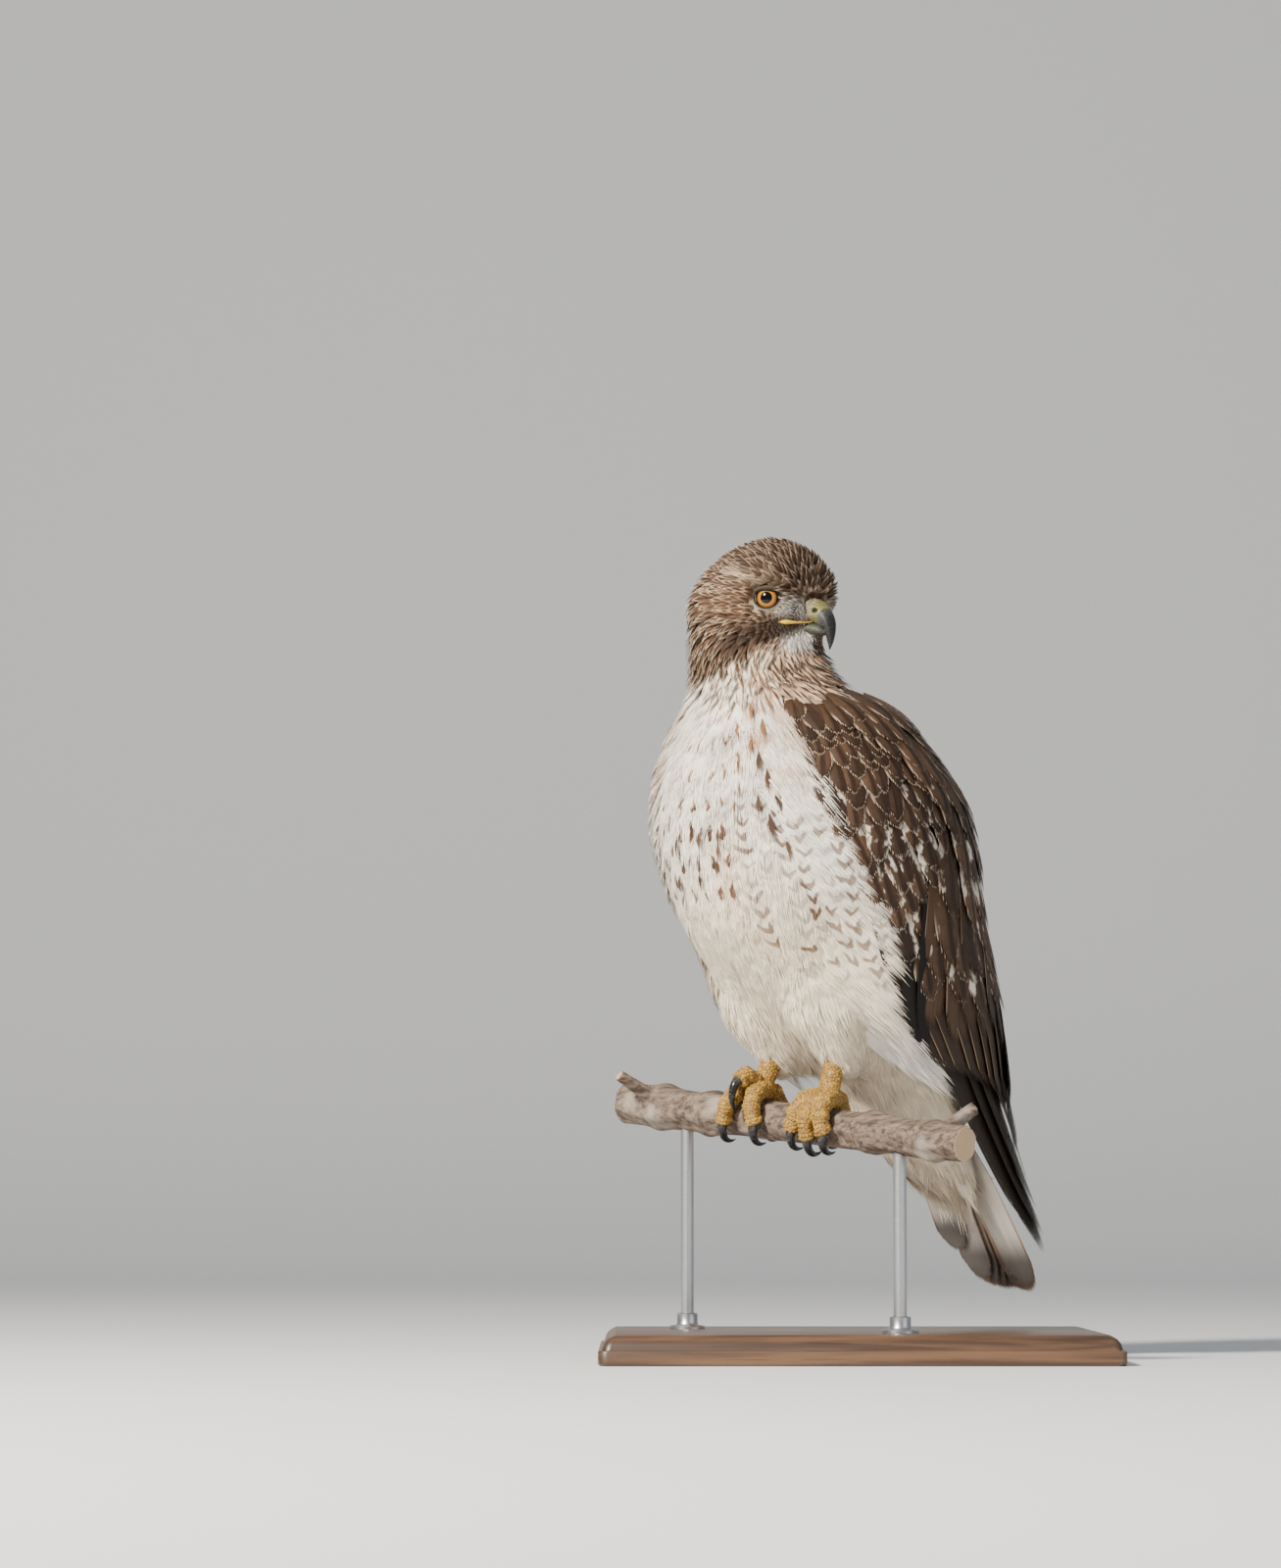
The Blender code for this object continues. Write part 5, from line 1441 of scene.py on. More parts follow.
eye_look, lid_look = eye_material(), lid_material()
for word, side in SIDES:
    middle = EYE_MIDDLE * (1, side, 1)
    aim = np.array((math.cos(IRIS_AIM), side * math.sin(IRIS_AIM), 0))
    back = np.array((-math.sin(IRIS_AIM), side * math.cos(IRIS_AIM), 0))
    up = np.array((0, 0, 1))
    turns = circle(48)
    ways = np.cos(turns)[:, None] * back + np.sin(turns)[:, None] * up
    opens = np.concatenate((np.linspace(2, 60, 24), np.linspace(70, 176, 10)))
    rings, maps = [], []
    for angle in np.radians(opens):
        bulge = EYE_RADIUS + 0.45 * math.exp(-((EYE_RADIUS * math.sin(angle) / 6.5) ** 4)) * (angle < 1.57)
        rings.append(middle + bulge * (math.cos(angle) * aim + math.sin(angle) * ways))
        flat = EYE_RADIUS * math.sin(angle) / 20 if angle < 1.57 else 0.5
        maps.append(np.stack((np.cos(turns), np.sin(turns)), 1) * flat + 0.5)
    made = solid(f"eyeball_{word}", from_head(np.concatenate(rings)), ring_faces(len(rings), len(turns)))
    point_map(made.data, "iris", np.concatenate(maps))
    finished(made, eye_look, "eye", f"eye_{word}")

    # The lids: from inside the eyeball over their edge and down to the face
    turns = circle(LID_SIDES)
    across, rise = LID_HALF_WIDTH * np.cos(turns), np.sin(turns)
    rise = np.where(rise > 0, np.minimum(LID_RISE * rise**0.62, 3.9 + 0.10 * across), LID_DROP * rise)
    corner = 1.3 * np.exp(-(((turns - math.pi + 0.15) / 0.3) ** 2))
    corner = corner + 0.35 * np.exp(-((np.sin(turns / 2) / 0.25) ** 2))
    opening = across[:, None] * back + rise[:, None] * up
    reach = np.linalg.norm(opening, axis=1)
    rings, tones = [], []
    for scale, level in LID_PROFILE:
        flat = opening + (scale - 1) * unit(opening) * (6.3 * (1 + corner))[:, None]
        depth = np.sqrt(EYE_RADIUS**2 - reach**2) + level + 0.5 * (rise > 2.5) * (scale > 1) * (1.5 - scale)
        rings.append(middle + flat + depth[:, None] * aim)
        pale = ease(1.16, 1.34, scale) * ease(3.4, 1.2, rise)
        tone = tinted((0.010, 0.008, 0.008), (0.40, 0.34, 0.27), pale)
        tones.append(tinted(tone, (0.12, 0.078, 0.05), ease(1.22, 1.5, scale) * ease(2.6, 3.6, rise)))
    made = solid(f"lids_{word}", from_head(np.concatenate(rings)), side_faces(len(rings), LID_SIDES))
    colour_attribute(made.data, "tone", np.concatenate(tones))
    outward = in_room(from_head(middle + aim * 20)) - in_room(from_head(middle))
    made.data.update()
    if sum(p.normal.dot(Vector(outward)) for p in made.data.polygons) < 0:
        made.data.flip_normals()
    made.data.shade_smooth()
    made.data.materials.append(lid_look)
    declared(made, "eye")


# --- The cere and the beak ---
# The cere is soft waxy skin over the root of the bill, with the nostrils in it. The upper bill is a
# hooked sheath of horn, blue-grey to black, that shuts over the shorter lower one.

# Upper bill: how far along it, ridge X and Z, cutting edge X and Z, half width
BEAK_STATIONS = (
    (0, 26, -1.5, 26, -14, 9),
    (1, 30, -1.5, 30, -14.5, 8.6),
    (2, 35.6, -4.2, 35, -16.4, 7.8),
    (3, 41, -8.8, 38.2, -18.6, 6.5),
    (4, 44.4, -15, 39.8, -21.2, 5.1),
    (5, 45.3, -21.3, 40.8, -24.8, 3.7),
    (6, 44.4, -27.8, 41.4, -28.8, 2.1),
    (7, 42.3, -32.6, 42, -32.9, 0.35),
)
CERE_END = 2.8
NOSTRIL = (35.6, 7.2, -8.8)
LOWER_BEAK_STATIONS = (
    (24, -15.5, -21.5, 8.3),
    (30, -15.5, -22.5, 7.2),
    (34, -16.3, -23.4, 6),
    (37.5, -17.8, -23.8, 4),
    (40, -20.4, -23.2, 1.4),
)
GAPE = ((34, 2, -13.5), (31.5, 6.4, -15.6), (27.5, 12.6, -16), (23.5, 19.6, -16), (14.8, 28, -17))


def beak_rings(alongs, swell, sides):
    """Sections of the upper bill, sharper at the ridge and flat along the cutting edges."""
    turns = circle(sides)
    rings = []
    for along, more in zip(alongs, swell):
        ridge_x, ridge_z, edge_x, edge_z, width = smooth(BEAK_STATIONS, along)[0]
        middle = np.array(((ridge_x + edge_x) / 2, 0, (ridge_z + edge_z) / 2))
        rise = np.array((ridge_x, 0, ridge_z)) - middle
        rise = rise * (1 + more / np.linalg.norm(rise))
        aside = (width + more) * np.cos(turns) * (1 - 0.12 * np.cos(2 * turns))
        ring = middle + np.sin(turns)[:, None] * rise
        ring[:, 1] += aside
        rings.append(ring)
    return np.stack(rings)


def slanted(rings, alongs):
    """Draws the bill's sections back below the ridge, where the cere's front edge slopes."""
    share = 0.16 * ease(1.2, 2.8, alongs) * ease(4.2, 2.9, alongs)
    rings[:, :, 0] -= share[:, None] * (rings[:, :, 2].max(axis=1)[:, None] - rings[:, :, 2])
    return rings


def horn_material(name, pale, dark, roughness):
    """Horn that darkens towards its tip, with faint growth lines and a pale streak."""
    wires = new_material(name, roughness, Specular_IOR_Level=0.35)
    tone = wires.stored("tone", "Fac")
    place = wires.place()
    grain = wires.noise(place, 500.0, 5.0)
    lines = wires.noise(wires.mapped(place, Scale=(400, 400, 1600)), 1.0, 2.0)
    far = wires.plus(tone, wires.scaled(grain, 0.5, -0.25), clamp=True)
    colour = wires.mix(far, pale, dark)
    colour = wires.mix(wires.times(wires.ramp(lines, 0.55, 0.75), 0.25), colour, (0.35, 0.36, 0.36))
    return wires.finish(colour, lines, 0.25, 0.0002)


def waxy_material(name, colour, spot, bumps):
    """Soft bare skin with fine pits and folds, darker where its stored tone is high, which holds the painted
    shade in the nostril pits.
    """
    wires = new_material(name, 0.5, Specular_IOR_Level=0.4)
    tone = wires.stored("tone", "Fac")
    folds = wires.noise(wires.place(), bumps, 4.0)
    mixed = wires.mix(wires.ramp(folds, 0.3, 0.75), spot, colour)
    mixed = wires.mix(tone, mixed, (0.012, 0.012, 0.008))
    wires.join(wires.scaled(tone, 0.45, 0.5), wires.shader()["Roughness"])
    return wires.finish(mixed, folds, 0.35, 0.0003)


def tube_rings(line, radii):
    """Rings round a path, each with a radius for every side, turned as little as they can be."""
    line, radii = np.asarray(line, float), np.asarray(radii, float)
    sides = radii.shape[1]
    ways = unit(np.gradient(line, axis=0))
    beside = unit(np.cross(ways[0], (0.3, 0.2, 1)))
    turns = circle(sides)
    rings = []
    for spot, way, ring in zip(line, ways, radii):
        beside = unit(beside - way * (beside @ way))
        above = np.cross(way, beside)
        around = np.cos(turns)[:, None] * beside + np.sin(turns)[:, None] * above
        rings.append(spot + ring[:, None] * around)
    return np.stack(rings)


def path_through(spots, count):
    """Points on a smooth curve through the given ones."""
    return smooth([(k, *spot) for k, spot in enumerate(spots)], np.linspace(0, len(spots) - 1, count))


def lofted(name, rings, tone, material, slot_name, *replaced):
    """A piece closed round rings of points in the head's frame, with a tone for each point."""
    rings = np.asarray(rings)
    made = solid(name, from_head(rings.reshape(-1, 3)), ring_faces(*rings.shape[:2]))
    value_attribute(made.data, "tone", tone)
    return finished(made, material, slot_name, *replaced)


alongs = np.linspace(0, CERE_END, 60)
swell = 0.75 * (1 - ease(2.0, CERE_END, alongs)) + 0.12
points = slanted(beak_rings(alongs, swell, 120), alongs).reshape(-1, 3)
hole = np.zeros(len(points))
for side in (1, -1):
    away = (points - np.array(NOSTRIL) * (1, side, 1)) / (2.0, 3.0, 1.6)
    pit = np.exp(-np.sum(away**2, axis=1) ** 1.6)
    points = points - np.array((0, side, 0)) * 1.7 * pit[:, None]
    hole = np.maximum(hole, ease(0.3, 0.6, pit))
cere_look = waxy_material("cere_wax", (0.25, 0.23, 0.06), (0.13, 0.13, 0.045), 500.0)
# The tone darkens the cere: painted shade in the nostril pits, and darker towards its lower edge
tone = np.maximum(hole, 0.6 * ease(-9, -15, points[:, 2]))
lofted("cere_skin", points.reshape(60, 120, 3), tone, cere_look, "cere", "cere")

gape_look = waxy_material("gape_skin", (0.80, 0.50, 0.03), (0.60, 0.34, 0.025), 700.0)
share = np.linspace(0, 1, 30)
thick = np.interp(share, (0, 0.42, 0.6, 0.74, 0.86, 1), (0.3, 0.4, 0.9, 1.5, 0.9, 0.05))
for word, side in SIDES:
    rings = tube_rings(path_through(GAPE, 30) * (1, side, 1), np.tile(thick[:, None], 14))
    tone = np.repeat(np.interp(share, (0.35, 0.6), (0.45, 0)), 14)
    lofted(f"gape_{word}", rings, tone, gape_look, "cere")

# Short stiff feathers over the back of the cere
draw = np.random.default_rng(17)
bristles = Plumage("plumage_bristles", head_plumage, "head_feather")
for first, last in ((0.3, 1.35), (0.75, 1.7), (1.1, 2.05)):
    root, tip = beak_rings((first, last), (0.8, 1.0), 110)
    above = np.sin(circle(110)) > -0.45
    root, tip = (from_head(ring[above] + draw.normal(0, 0.35, (above.sum(), 3))) for ring in (root, tip))
    out = unit(root - from_head(((28, 0, -8),)))
    grown = vanes(
        root, tip - root, 0 * root, out, out, 5, 1.3, rise=0.3, sink=0.5, draw=draw, strips=3, segments=3,
        round=0.4, power=1.5, ragged=0.3, root_width=0.5, taper=0.5, split=0.3, fray=0.1, loose=0.2,
        camber=0.2,
    )
    bristles.add(grown, bake_spots(root), markings(root), draw)
bristles.finish()

alongs = np.linspace(CERE_END - 0.3, BEAK_STATIONS[-1][0], 80)
rings = slanted(beak_rings(alongs, np.zeros(80), 56), alongs)
festoon = np.exp(-(((alongs - 3.1) / 0.5) ** 2))
rings[:, :, 2] -= 0.9 * festoon[:, None] * np.clip(-np.sin(circle(56)), 0, 1) ** 3
horn_look = horn_material("beak_horn", (0.125, 0.120, 0.105), (0.010, 0.010, 0.010), 0.5)
tone = np.repeat(ease(1.2, 4.2, alongs), 56)
lofted("beak_horn_upper", rings, tone, horn_look, "beak", "beak_upper")

lengths = np.linspace(LOWER_BEAK_STATIONS[0][0], LOWER_BEAK_STATIONS[-1][0], 40)
turns = circle(40)
rings = []
for x, (top, bottom, width) in zip(lengths, smooth(LOWER_BEAK_STATIONS, lengths)):
    level = (top + bottom) / 2 + (top - bottom) / 2 * np.sin(turns)
    rings.append(np.stack((np.full(40, x), width * np.cos(turns), level), 1))
# The lower bill's horn is blue-grey-green, darkened further as painted shade under the upper bill
pale_horn = horn_material("beak_horn_pale", (0.060, 0.066, 0.040), (0.03, 0.03, 0.03), 0.55)
lofted("beak_horn_lower", rings, np.repeat(ease(30, 42, lengths), 40), pale_horn, "beak", "beak_lower")


# --- The feet ---
# Bare yellow skin over bone and tendon: a thick shank, three toes in front and one behind, knobbed
# at the joints. Broad scutes lie along their tops and small round scales everywhere else.

PERCH_MIDDLE = np.array((50, 0, 144))
PERCH_WAY = unit(np.array((-0.139, 0.99, -0.105)))
PERCH_AHEAD = unit(np.array((0.99, 0.139, 0)))
PERCH_UP = np.cross(PERCH_AHEAD, PERCH_WAY)
PERCH_RADIUS = 12
FOOT_ALONG = 27
TARSUS_TOP = (36, 27, 194)
TARSUS_RADIUS = 6.5
PAD_HEIGHT = 5.5
TOE_RADIUS = (5.4, 4.0)
TOE_ARCH = 2.2
# Toes: number, angle round the perch where each begins and ends, and its drift along the perch
TOES = (
    (1, -8, -88, 0, -3),
    (2, 8, 98, -4, -12),
    (3, 10, 112, 0, 0),
    (4, 8, 100, 5, 13),
)
LIFTED_TOE = ((2, 17.5), (6, 21.5), (11, 25), (16, 25.5), (20, 22.5))
LIFTED_TALON = ((18.5, 23.7), (21.5, 21.8), (23.5, 18.5), (24.7, 12.5), (23, 7), (20, 3))
FOOT_VOXEL = 0.5
TOE_SIDES, TALON_SIDES = 28, 20


def perch_point(along, ahead, above):
    """A point beside the perch's middle line."""
    return PERCH_MIDDLE + PERCH_WAY * along + PERCH_AHEAD * ahead + PERCH_UP * above


def round_perch(along, angle, radius):
    """A point round the perch, its angle counted forward from the top."""
    turn = math.radians(angle)
    return perch_point(along, radius * math.sin(turn), radius * math.cos(turn))


def toe_lines(side, toe, lifted):
    """The middle lines of a toe and of its talon."""
    _, first, last, drift, spread = toe
    along = side * FOOT_ALONG
    if lifted:
        toe_line = [perch_point(along, *spot) for spot in LIFTED_TOE]
        talon_line = [perch_point(along - 1, *spot) for spot in LIFTED_TALON]
        return path_through(toe_line, 60), path_through(talon_line, 40)
    toe_line, talon_line = [], []
    for share in np.linspace(0, 1, 60):
        radius = PERCH_RADIUS + np.interp(share, (0, 1), TOE_RADIUS) + TOE_ARCH * math.sin(math.pi * share)
        place = along + side * (drift + (spread - drift) * share)
        toe_line.append(round_perch(place, first + (last - first) * share, radius + 0.3))
    for share in np.linspace(-0.06, 1, 40):
        radius = PERCH_RADIUS + 4.6 + 4.2 * math.sin(math.pi * share) - 2.2 * share
        angle = last + math.copysign(68 * share - 5, last)
        talon_line.append(round_perch(along + side * spread, angle, radius))
    return np.array(toe_line), np.array(talon_line)


def toe_radii(line, first, last):
    """A toe's radius for each side: knuckles, scutes along its top, and pads under it."""
    share = np.linspace(0, 1, len(line))[:, None]
    thick = first + (last - first) * share
    for knuckle in (0.34, 0.66, 0.94):
        thick = thick + 0.9 * np.exp(-(((share - knuckle) / 0.06) ** 2))
    rings = tube_rings(line, np.ones((len(line), TOE_SIDES)))
    from_perch = line - PERCH_MIDDLE - np.outer((line - PERCH_MIDDLE) @ PERCH_WAY, PERCH_WAY)
    outward = np.einsum("ijk,ik->ij", rings - line[:, None], unit(from_perch))
    scute = (share * 15) % 1
    ridge = 0.75 * (ease(0, 0.3, scute) * ease(1, 0.8, scute)) * ease(0.1, 0.6, outward)
    pad = 0.45 * np.exp(-((((share * 3) % 1 - 0.5) / 0.3) ** 2)) * ease(0.2, -0.6, outward)
    return thick + ridge + pad


def joined(name, parts):
    """One mesh object from several closed lofts, given as rings."""
    points, faces = [], []
    for rings in parts:
        base = sum(len(part) for part in points)
        points.append(rings.reshape(-1, 3))
        faces += [tuple(base + k for k in face) for face in ring_faces(*rings.shape[:2])]
    return solid(name, np.concatenate(points), faces)


def scatter_tree(name):
    """Geometry nodes that set small raised scales over a surface, each turned along its normal."""
    inputs = [("Geometry", "Geometry", None), ("Seed", "Int", None), ("Material", "Material", None)]
    inputs += [(label, "Float", 0.0) for label in ("Spacing", "Width", "Height", "Vary")]
    wires, given, output = new_group(name, inputs, [("Geometry", "Geometry")], "GeometryNodeTree")
    spread = wires.add(
        "GeometryNodeDistributePointsOnFaces", {"distribute_method": "POISSON"}, i0=given["Geometry"],
        Seed=given["Seed"], Distance_Min=given["Spacing"], Density_Max=4e6,
    )
    ball = wires.add("GeometryNodeMeshUVSphere", Segments=8, Rings=4, Radius=0.5)
    wide = wires.add("ShaderNodeCombineXYZ", i0=given["Width"], i1=given["Width"], i2=given["Height"])
    shaped = wires.add("GeometryNodeTransform", i0=ball.outputs[0], Scale=wide.outputs[0])
    luck = wires.add("FunctionNodeRandomValue", {"data_type": "FLOAT"}, Seed=given["Seed"])
    floats = [socket for socket in luck.inputs if socket.name in ("Min", "Max") and socket.type == "VALUE"]
    wires.join(wires.minus(1.0, given["Vary"]), floats[0])
    wires.join(wires.plus(1.0, given["Vary"]), floats[1])
    size = [socket for socket in luck.outputs if socket.type == "VALUE"][0]
    put = wires.add(
        "GeometryNodeInstanceOnPoints", Points=spread.outputs["Points"], Instance=shaped.outputs[0],
        Rotation=spread.outputs["Rotation"], Scale=size,
    )
    real = wires.add("GeometryNodeRealizeInstances", i0=put.outputs[0])
    paint = wires.add("GeometryNodeSetMaterial", i0=real.outputs[0], Material=given["Material"])
    wires.join(paint.outputs[0], output.inputs[0])
    return wires.tree


scale_tree = scatter_tree("raised_scales")


def scattered(name, surface, slot_name, **settings):
    """A piece made of the scales that the tree sets over a copy of another piece."""
    made = placed(name, surface.data.copy())
    modifier = made.modifiers.new("scales", "NODES")
    modifier.node_group = scale_tree
    for socket in scale_tree.interface.items_tree:
        if socket.in_out == "INPUT" and socket.name in settings:
            modifier[socket.identifier] = settings[socket.name]
    plain_mesh(made)
    made.data.shade_smooth()
    declared(made, slot_name)


foot_look = waxy_material("foot_skin", (0.60, 0.36, 0.06), (0.33, 0.18, 0.04), 260.0)
wires, skin_colour = reopened(foot_look)
# Dark lines along the scales' edges: painted shade in the creases between them
cells = wires.add("ShaderNodeTexVoronoi", {"feature": "DISTANCE_TO_EDGE"}, Vector=wires.place(), Scale=520.0)
crease_shade = wires.ramp(cells.outputs[0], 0.13, 0.02)
wires.finish(wires.mix(wires.times(crease_shade, 0.75), skin_colour, (0.10, 0.05, 0.02)))
talon_look = horn_material("talon_horn", (0.07, 0.065, 0.06), (0.010, 0.010, 0.010), 0.2)
for word, side in SIDES:
    pad = round_perch(side * FOOT_ALONG, 0, PERCH_RADIUS + PAD_HEIGHT)
    top = np.array(TARSUS_TOP) * (1, side, 1)
    shank = path_through((top, (top + pad) / 2, pad), 50)
    share = np.linspace(0, 1, 50)[:, None]
    front = np.clip(np.cos(circle(TOE_SIDES)[None] - 2.6), 0, 1)
    thick = TARSUS_RADIUS - 0.5 + 1.3 * ease(0.75, 1, share)
    scutes = 0.45 * ease(0, 0.3, (share * 11) % 1) * ease(1, 0.8, (share * 11) % 1) * front
    parts = [tube_rings(shank, thick + scutes)]
    ball_turns = np.linspace(0.05, math.pi - 0.05, 16)
    pad_line = pad + PERCH_UP * 6.5 * -np.cos(ball_turns)[:, None]
    parts.append(tube_rings(pad_line, np.tile(8.5 * np.sin(ball_turns)[:, None], TOE_SIDES)))
    for toe in TOES:
        lifted = side < 0 and toe[0] == 3
        toe_line, talon_line = toe_lines(side, toe, lifted)
        parts.append(tube_rings(toe_line, toe_radii(toe_line, *TOE_RADIUS)))
        share = np.linspace(0, 1, len(talon_line))
        thick = np.interp(share, (0, 0.08, 0.6, 1), (3.2, 3.4, 2.1, 0.25))
        rings = tube_rings(talon_line, np.tile(thick[:, None], TALON_SIDES))
        talon = joined(f"claw_{word}_{toe[0]}", [rings])
        value_attribute(talon.data, "tone", np.repeat(ease(0, 0.4, share), TALON_SIDES))
        finished(talon, talon_look, "talon", f"talon_{word}_{toe[0]}")
    foot = joined(f"foot_skin_{word}", parts)
    one_surface(foot, FOOT_VOXEL, 2)
    value_attribute(foot.data, "tone", np.zeros(len(foot.data.vertices)))
    finished(foot, foot_look, "foot", f"foot_{word}")
    scales = {"Spacing": 0.0019, "Width": 0.0023, "Height": 0.0007, "Vary": 0.25, "Seed": 5}
    scattered(f"foot_scales_{word}", foot, "foot", Material=foot_look, **scales)


# --- The perch ---
# A cut length of branch with its bark on, swollen where twigs grew, with two of them cut to stubs.
# Its ends are sawn square, and the stand's two rods hold it.

PERCH_LENGTH = 270
KNOTS = (-104, -62, 66, 112)
# Cut twigs: place along the perch, angle round it, lean along it, length
TWIGS = ((-104, 60, -12, 24), (112, -50, 9, 20))


def bark_material():
    """Weathered bark: grey-brown ridges, darker cracks and a few pale patches."""
    wires = new_material("perch_bark", 0.85)
    place = wires.place()
    turned = wires.mapped(place, Rotation=(0, -0.11, -0.84), Scale=(60, 320, 320))
    ridges = wires.noise(turned, 1.0, 8.0, Roughness=0.65)
    patches = wires.noise(place, 45.0, 4.0)
    colour = wires.mix(wires.ramp(ridges, 0.35, 0.65), (0.055, 0.038, 0.028), (0.24, 0.175, 0.13))
    colour = wires.mix(wires.ramp(patches, 0.52, 0.72), colour, (0.34, 0.29, 0.24))
    return wires.finish(colour, ridges, 0.8, 0.0012)


def cut_wood_material():
    """The sawn ends: pale wood with growth rings round the pith."""
    wires = new_material("perch_cut_wood", 0.7)
    rings_at = wires.stored("from_pith", "Fac")
    place = wires.place()
    grain = wires.noise(place, 300.0, 4.0)
    wave = wires.math("SINE", wires.scaled(rings_at, 5.5, wires.times(grain, 2.0)))
    colour = wires.mix(wires.ramp(wave, -0.6, 0.9), (0.62, 0.45, 0.28), (0.42, 0.27, 0.15))
    colour = wires.mix(wires.ramp(rings_at, 10.2, 11.2), colour, (0.12, 0.08, 0.05))
    return wires.finish(colour, wave, 0.3, 0.0003)


def rough_radii(radii, sides, draw):
    """Radii with the bark's ridges, lumps and cracks, from waves of drawn lengths and phases."""
    turns = circle(sides)[None]
    at = np.linspace(0, 1, len(radii))[:, None] * len(radii)
    full = np.asarray(radii, float)[:, None] + 0 * turns
    for _ in range(14):
        waves, pace, phase = draw.integers(1, 9), draw.normal(0, 0.09), draw.uniform(0, 6.28)
        full = full + draw.uniform(0.06, 0.22) * np.sin(waves * turns + pace * at + phase)
    return full


draw = np.random.default_rng(41)
half = PERCH_LENGTH / 2
alongs = np.linspace(-half, half, 240)
swollen = sum(2.2 * np.exp(-(((alongs - knot) / 7) ** 2)) for knot in KNOTS)
radii = PERCH_RADIUS - 0.3 - alongs / half + swollen
spine = np.array([perch_point(along, 0, 0) for along in alongs])
parts = [tube_rings(spine, rough_radii(radii, 60, draw))]
twigs = [
    (round_perch(along, angle, 4), round_perch(along + lean, angle, PERCH_RADIUS + length))
    for along, angle, lean, length in TWIGS
]
for root, end in twigs:
    parts.append(tube_rings(np.linspace(root, end, 40), rough_radii(np.linspace(5, 3.4, 40), 24, draw)))
perch = joined("perch_bark", parts)
one_surface(perch, 0.9, 1)
perch_points = in_bird([v.co for v in perch.data.vertices])
reach = (perch_points - PERCH_MIDDLE) @ PERCH_WAY
away = np.linalg.norm(perch_points - PERCH_MIDDLE - np.outer(reach, PERCH_WAY), axis=1)
for root, end in twigs:
    near = np.linalg.norm(perch_points - end, axis=1)
    away = np.where(near < 6, near * 3, away)
value_attribute(perch.data, "from_pith", away)
finished(perch, bark_material(), "bark", "perch")
perch.data.materials.append(cut_wood_material())


def faces_along(face, way):
    """True for a face square to a direction in the bird's frame."""
    return abs(face.normal.dot(Vector(BIRD_TURN @ way))) > 0.8


for face in perch.data.polygons:
    middle = in_bird(face.center)
    sawn = abs((middle - PERCH_MIDDLE) @ PERCH_WAY) > half - 1.5 and faces_along(face, PERCH_WAY)
    for root, end in twigs:
        sawn = sawn or (np.linalg.norm(middle - end) < 3.6 and faces_along(face, unit(end - root)))
    face.material_index = int(sawn)


# --- The stand ---
# A flat stained board with a moulded edge. Two steel rods stand in it, each in a turned collar, and
# hold the perch.

def wood_material():
    """Dark stained board with long grain under wax."""
    wires = new_material("stand_board", 0.4, Coat_Weight=0.3, Coat_Roughness=0.3)
    place = wires.place()
    grain = wires.noise(wires.mapped(place, Scale=(3, 60, 60)), 2.0, 7.0, Distortion=0.6)
    pores = wires.noise(wires.mapped(place, Scale=(20, 900, 900)), 1.0, 3.0)
    colour = wires.mix(wires.ramp(grain, 0.35, 0.65), (0.045, 0.022, 0.012), (0.15, 0.078, 0.04))
    colour = wires.mix(wires.times(wires.ramp(pores, 0.58, 0.7), 0.6), colour, (0.02, 0.01, 0.006))
    wires.join(wires.scaled(pores, 0.25, 0.3), wires.shader()["Roughness"])
    return wires.finish(colour, pores, 0.2, 0.0003)


def steel_material():
    """Brushed steel, its fine lines running round the rod."""
    wires = new_material("stand_steel_brushed", 0.3, Metallic=1.0)
    lines = wires.noise(wires.mapped(wires.place(), Scale=(200, 200, 6000)), 1.0, 2.0)
    wires.join(wires.scaled(lines, 0.25, 0.2), wires.shader()["Roughness"])
    return wires.finish(wires.mix(lines, (0.42, 0.42, 0.43), (0.66, 0.66, 0.67)))


SHARP_EDGE = math.radians(35)
BASE_LOW, BASE_HIGH = (np.array(corner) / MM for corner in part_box("stand_base"))
# The board's moulded edge, from the underside up: inset, height
EDGE_PROFILE = (
    (1.2, 0), (0, 1.2), (0, 8), (0.4, 8.8), (2.2, 9.2), (2.6, 10.5), (3.4, 13), (5.4, 15.6), (8, 17.2),
    (9.5, 18),
)
# The collar round each rod, from the rod's surface out and up and back to it: radius, height
COLLAR_PROFILE = (
    (4.2, 18), (11, 18), (11, 19.6), (10.4, 20.4), (7.2, 20.8), (6.4, 22), (6.4, 27.4), (5.8, 28), (4.2, 28),
)
COLLAR_SIDES = 48
rings = []
for inset, level in EDGE_PROFILE:
    ring = []
    half_x, half_y = (BASE_HIGH[:2] - BASE_LOW[:2]) / 2 - inset
    corner = 6 - 0.3 * inset
    for k, (sign_x, sign_y) in enumerate(((1, 1), (-1, 1), (-1, -1), (1, -1))):
        for turn in np.linspace(k * math.pi / 2, (k + 1) * math.pi / 2, 9):
            x = sign_x * (half_x - corner) + corner * math.cos(turn)
            y = sign_y * (half_y - corner) + corner * math.sin(turn)
            ring.append((x, y, level))
    rings.append(ring)
base_mesh = bpy.data.meshes.new("stand_board")
base_points = np.concatenate(rings) * MM
base_mesh.from_pydata(base_points.tolist(), [], ring_faces(len(rings), len(rings[0])))
finished(placed("stand_board", base_mesh), wood_material(), "stand_wood", "stand_base")
base_mesh.set_sharp_from_angle(angle=SHARP_EDGE)

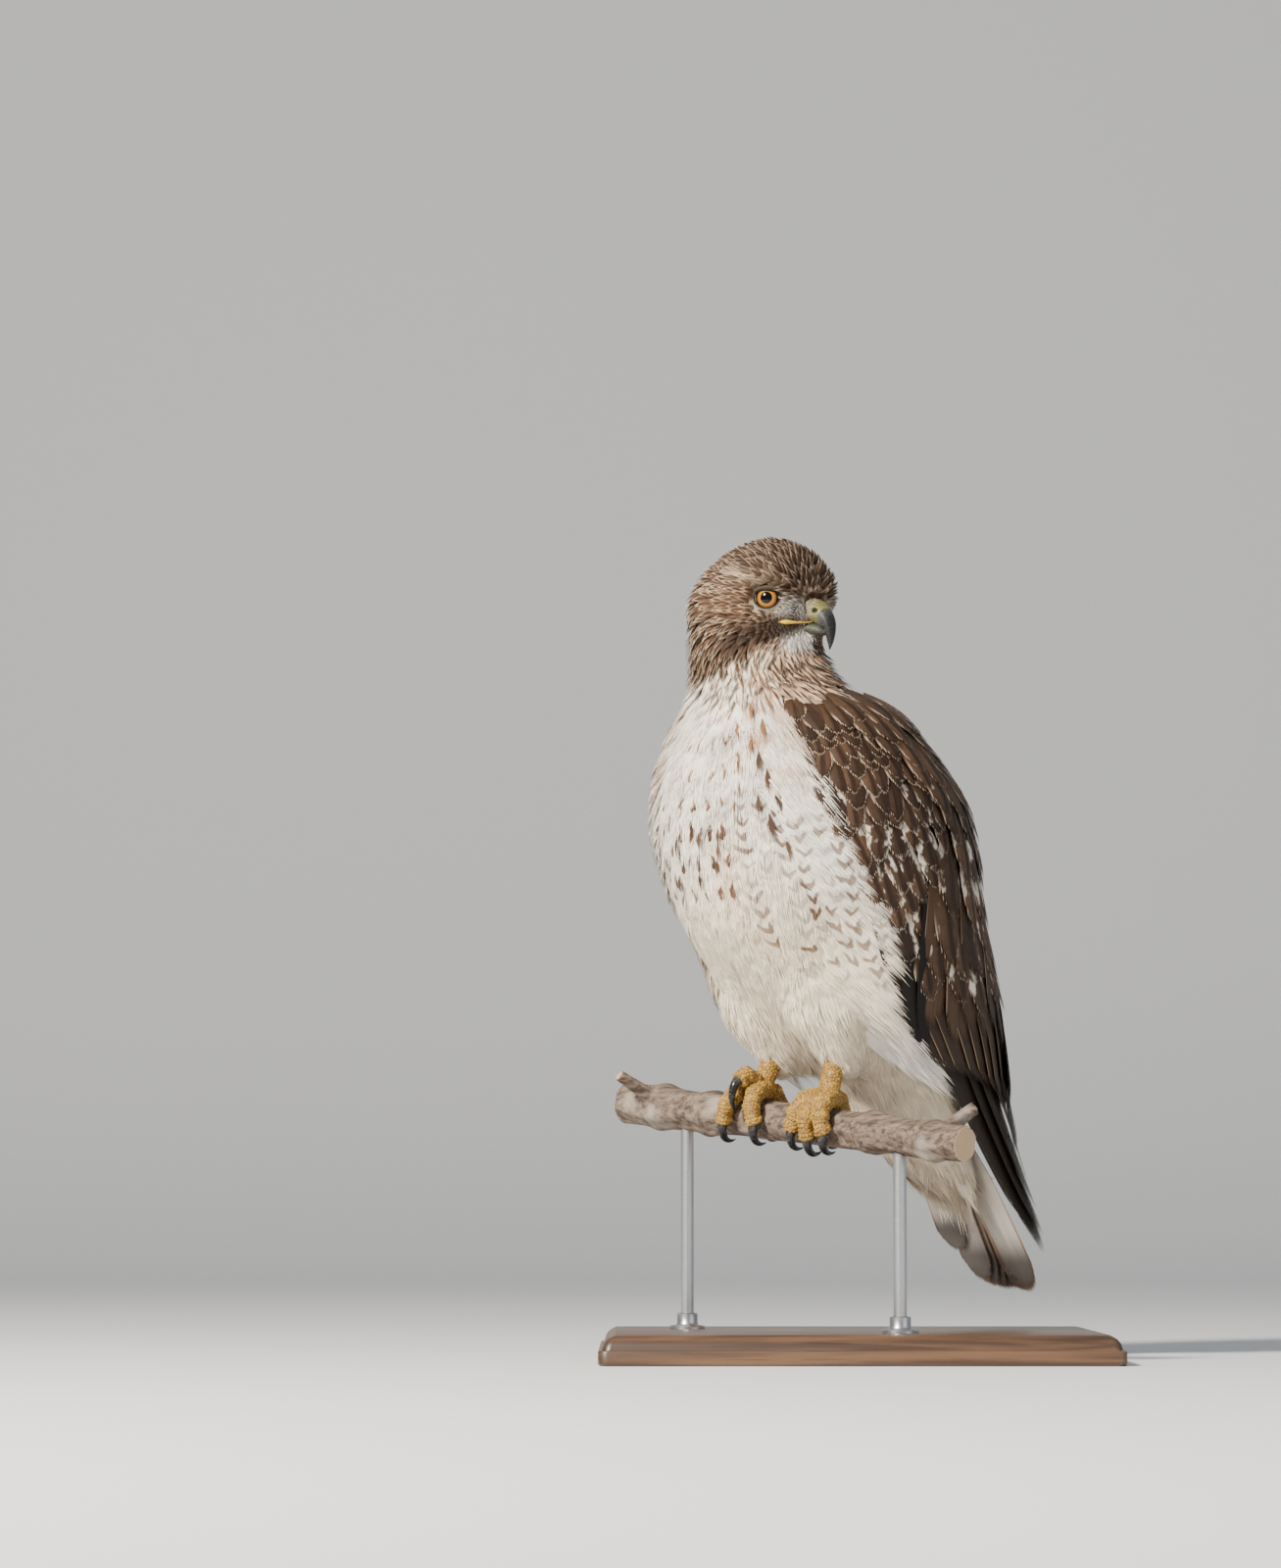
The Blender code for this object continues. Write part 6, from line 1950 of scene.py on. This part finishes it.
steel = steel_material()
for word, _ in SIDES:
    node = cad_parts[f"stand_rod_{word}"]
    node.data.materials.clear()
    node.data.materials.append(steel)
    low, high = (np.array(corner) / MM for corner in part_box(f"stand_rod_{word}"))
    x, y = (low[:2] + high[:2]) / 2
    turns = circle(COLLAR_SIDES)
    rings = [
        np.stack((x + r * np.cos(turns), y + r * np.sin(turns), np.full(COLLAR_SIDES, z)), 1)
        for r, z in COLLAR_PROFILE
    ]
    faces = side_faces(len(rings), COLLAR_SIDES)
    last = (len(rings) - 1) * COLLAR_SIDES
    for i in range(COLLAR_SIDES):
        j = (i + 1) % COLLAR_SIDES
        faces.append((last + i, last + j, j, i))
    collar = solid(f"stand_collar_{word}", in_bird(np.concatenate(rings) * MM), faces)
    finished(collar, steel, "stand_steel")
    collar.data.set_sharp_from_angle(angle=SHARP_EDGE)


# --- The room ---
# A pale floor that sweeps up behind the bird, a warm soft lamp on one side, a weak cool one on the
# other, and an even sky. The camera looks slightly upwards.

floor_mesh = bpy.data.meshes.new("floor")
sweep = ((-5, 0), (3.6, 0), (3.9, 0.03), (4.15, 0.12), (4.35, 0.3), (4.45, 0.55), (4.5, 0.9), (4.5, 7))
floor_points = [(x, y, z) for y, z in sweep for x in (-7, 7)]
floor_faces = [(2 * k, 2 * k + 1, 2 * k + 3, 2 * k + 2) for k in range(len(sweep) - 1)]
floor_mesh.from_pydata(floor_points, [], floor_faces)
floor_mesh.shade_smooth()
floor = placed("floor", floor_mesh)
wires = new_material("pale_floor", 0.9)
fibres = wires.noise(wires.place(), 300.0, 2.0)
floor_mesh.materials.append(wires.finish(wires.mix(fibres, (0.78, 0.78, 0.78), (0.82, 0.82, 0.82))))


def aimed(name, data, place, target):
    """A lamp or camera at a place, turned towards another."""
    made = placed(name, data)
    made.location = place
    made.rotation_euler = (Vector(target) - Vector(place)).to_track_quat("-Z", "Y").to_euler()
    return made


def soft_light(name, place, target, size, power, colour):
    """A square light with a soft edge, aimed at a place."""
    lamp = bpy.data.lights.new(name, "AREA")
    lamp.shape = "SQUARE"
    lamp.size = size
    lamp.energy = power
    lamp.color = colour
    aimed(name, lamp, place, target)


soft_light("key_light", (-1.75, -2.0, 1.9), (0, 0, 0.3), 0.4, 230, (1, 0.93, 0.83))
soft_light("fill_light", (1.8, -1.6, 0.9), (0, 0, 0.3), 1.6, 10, (0.9, 0.95, 1))
world = bpy.data.worlds.new("studio")
world.use_nodes = True
sky = world.node_tree.nodes["Background"].inputs
sky["Color"].default_value = (0.8, 0.87, 0.95, 1)
sky["Strength"].default_value = 0.38
bpy.context.scene.world = world

camera_data = bpy.data.cameras.new("camera")
camera_data.lens = 120
camera_data.sensor_width = 36
bpy.context.scene.camera = aimed("camera", camera_data, (-0.130, -3.2, 0.090), (-0.130, 0, 0.352))
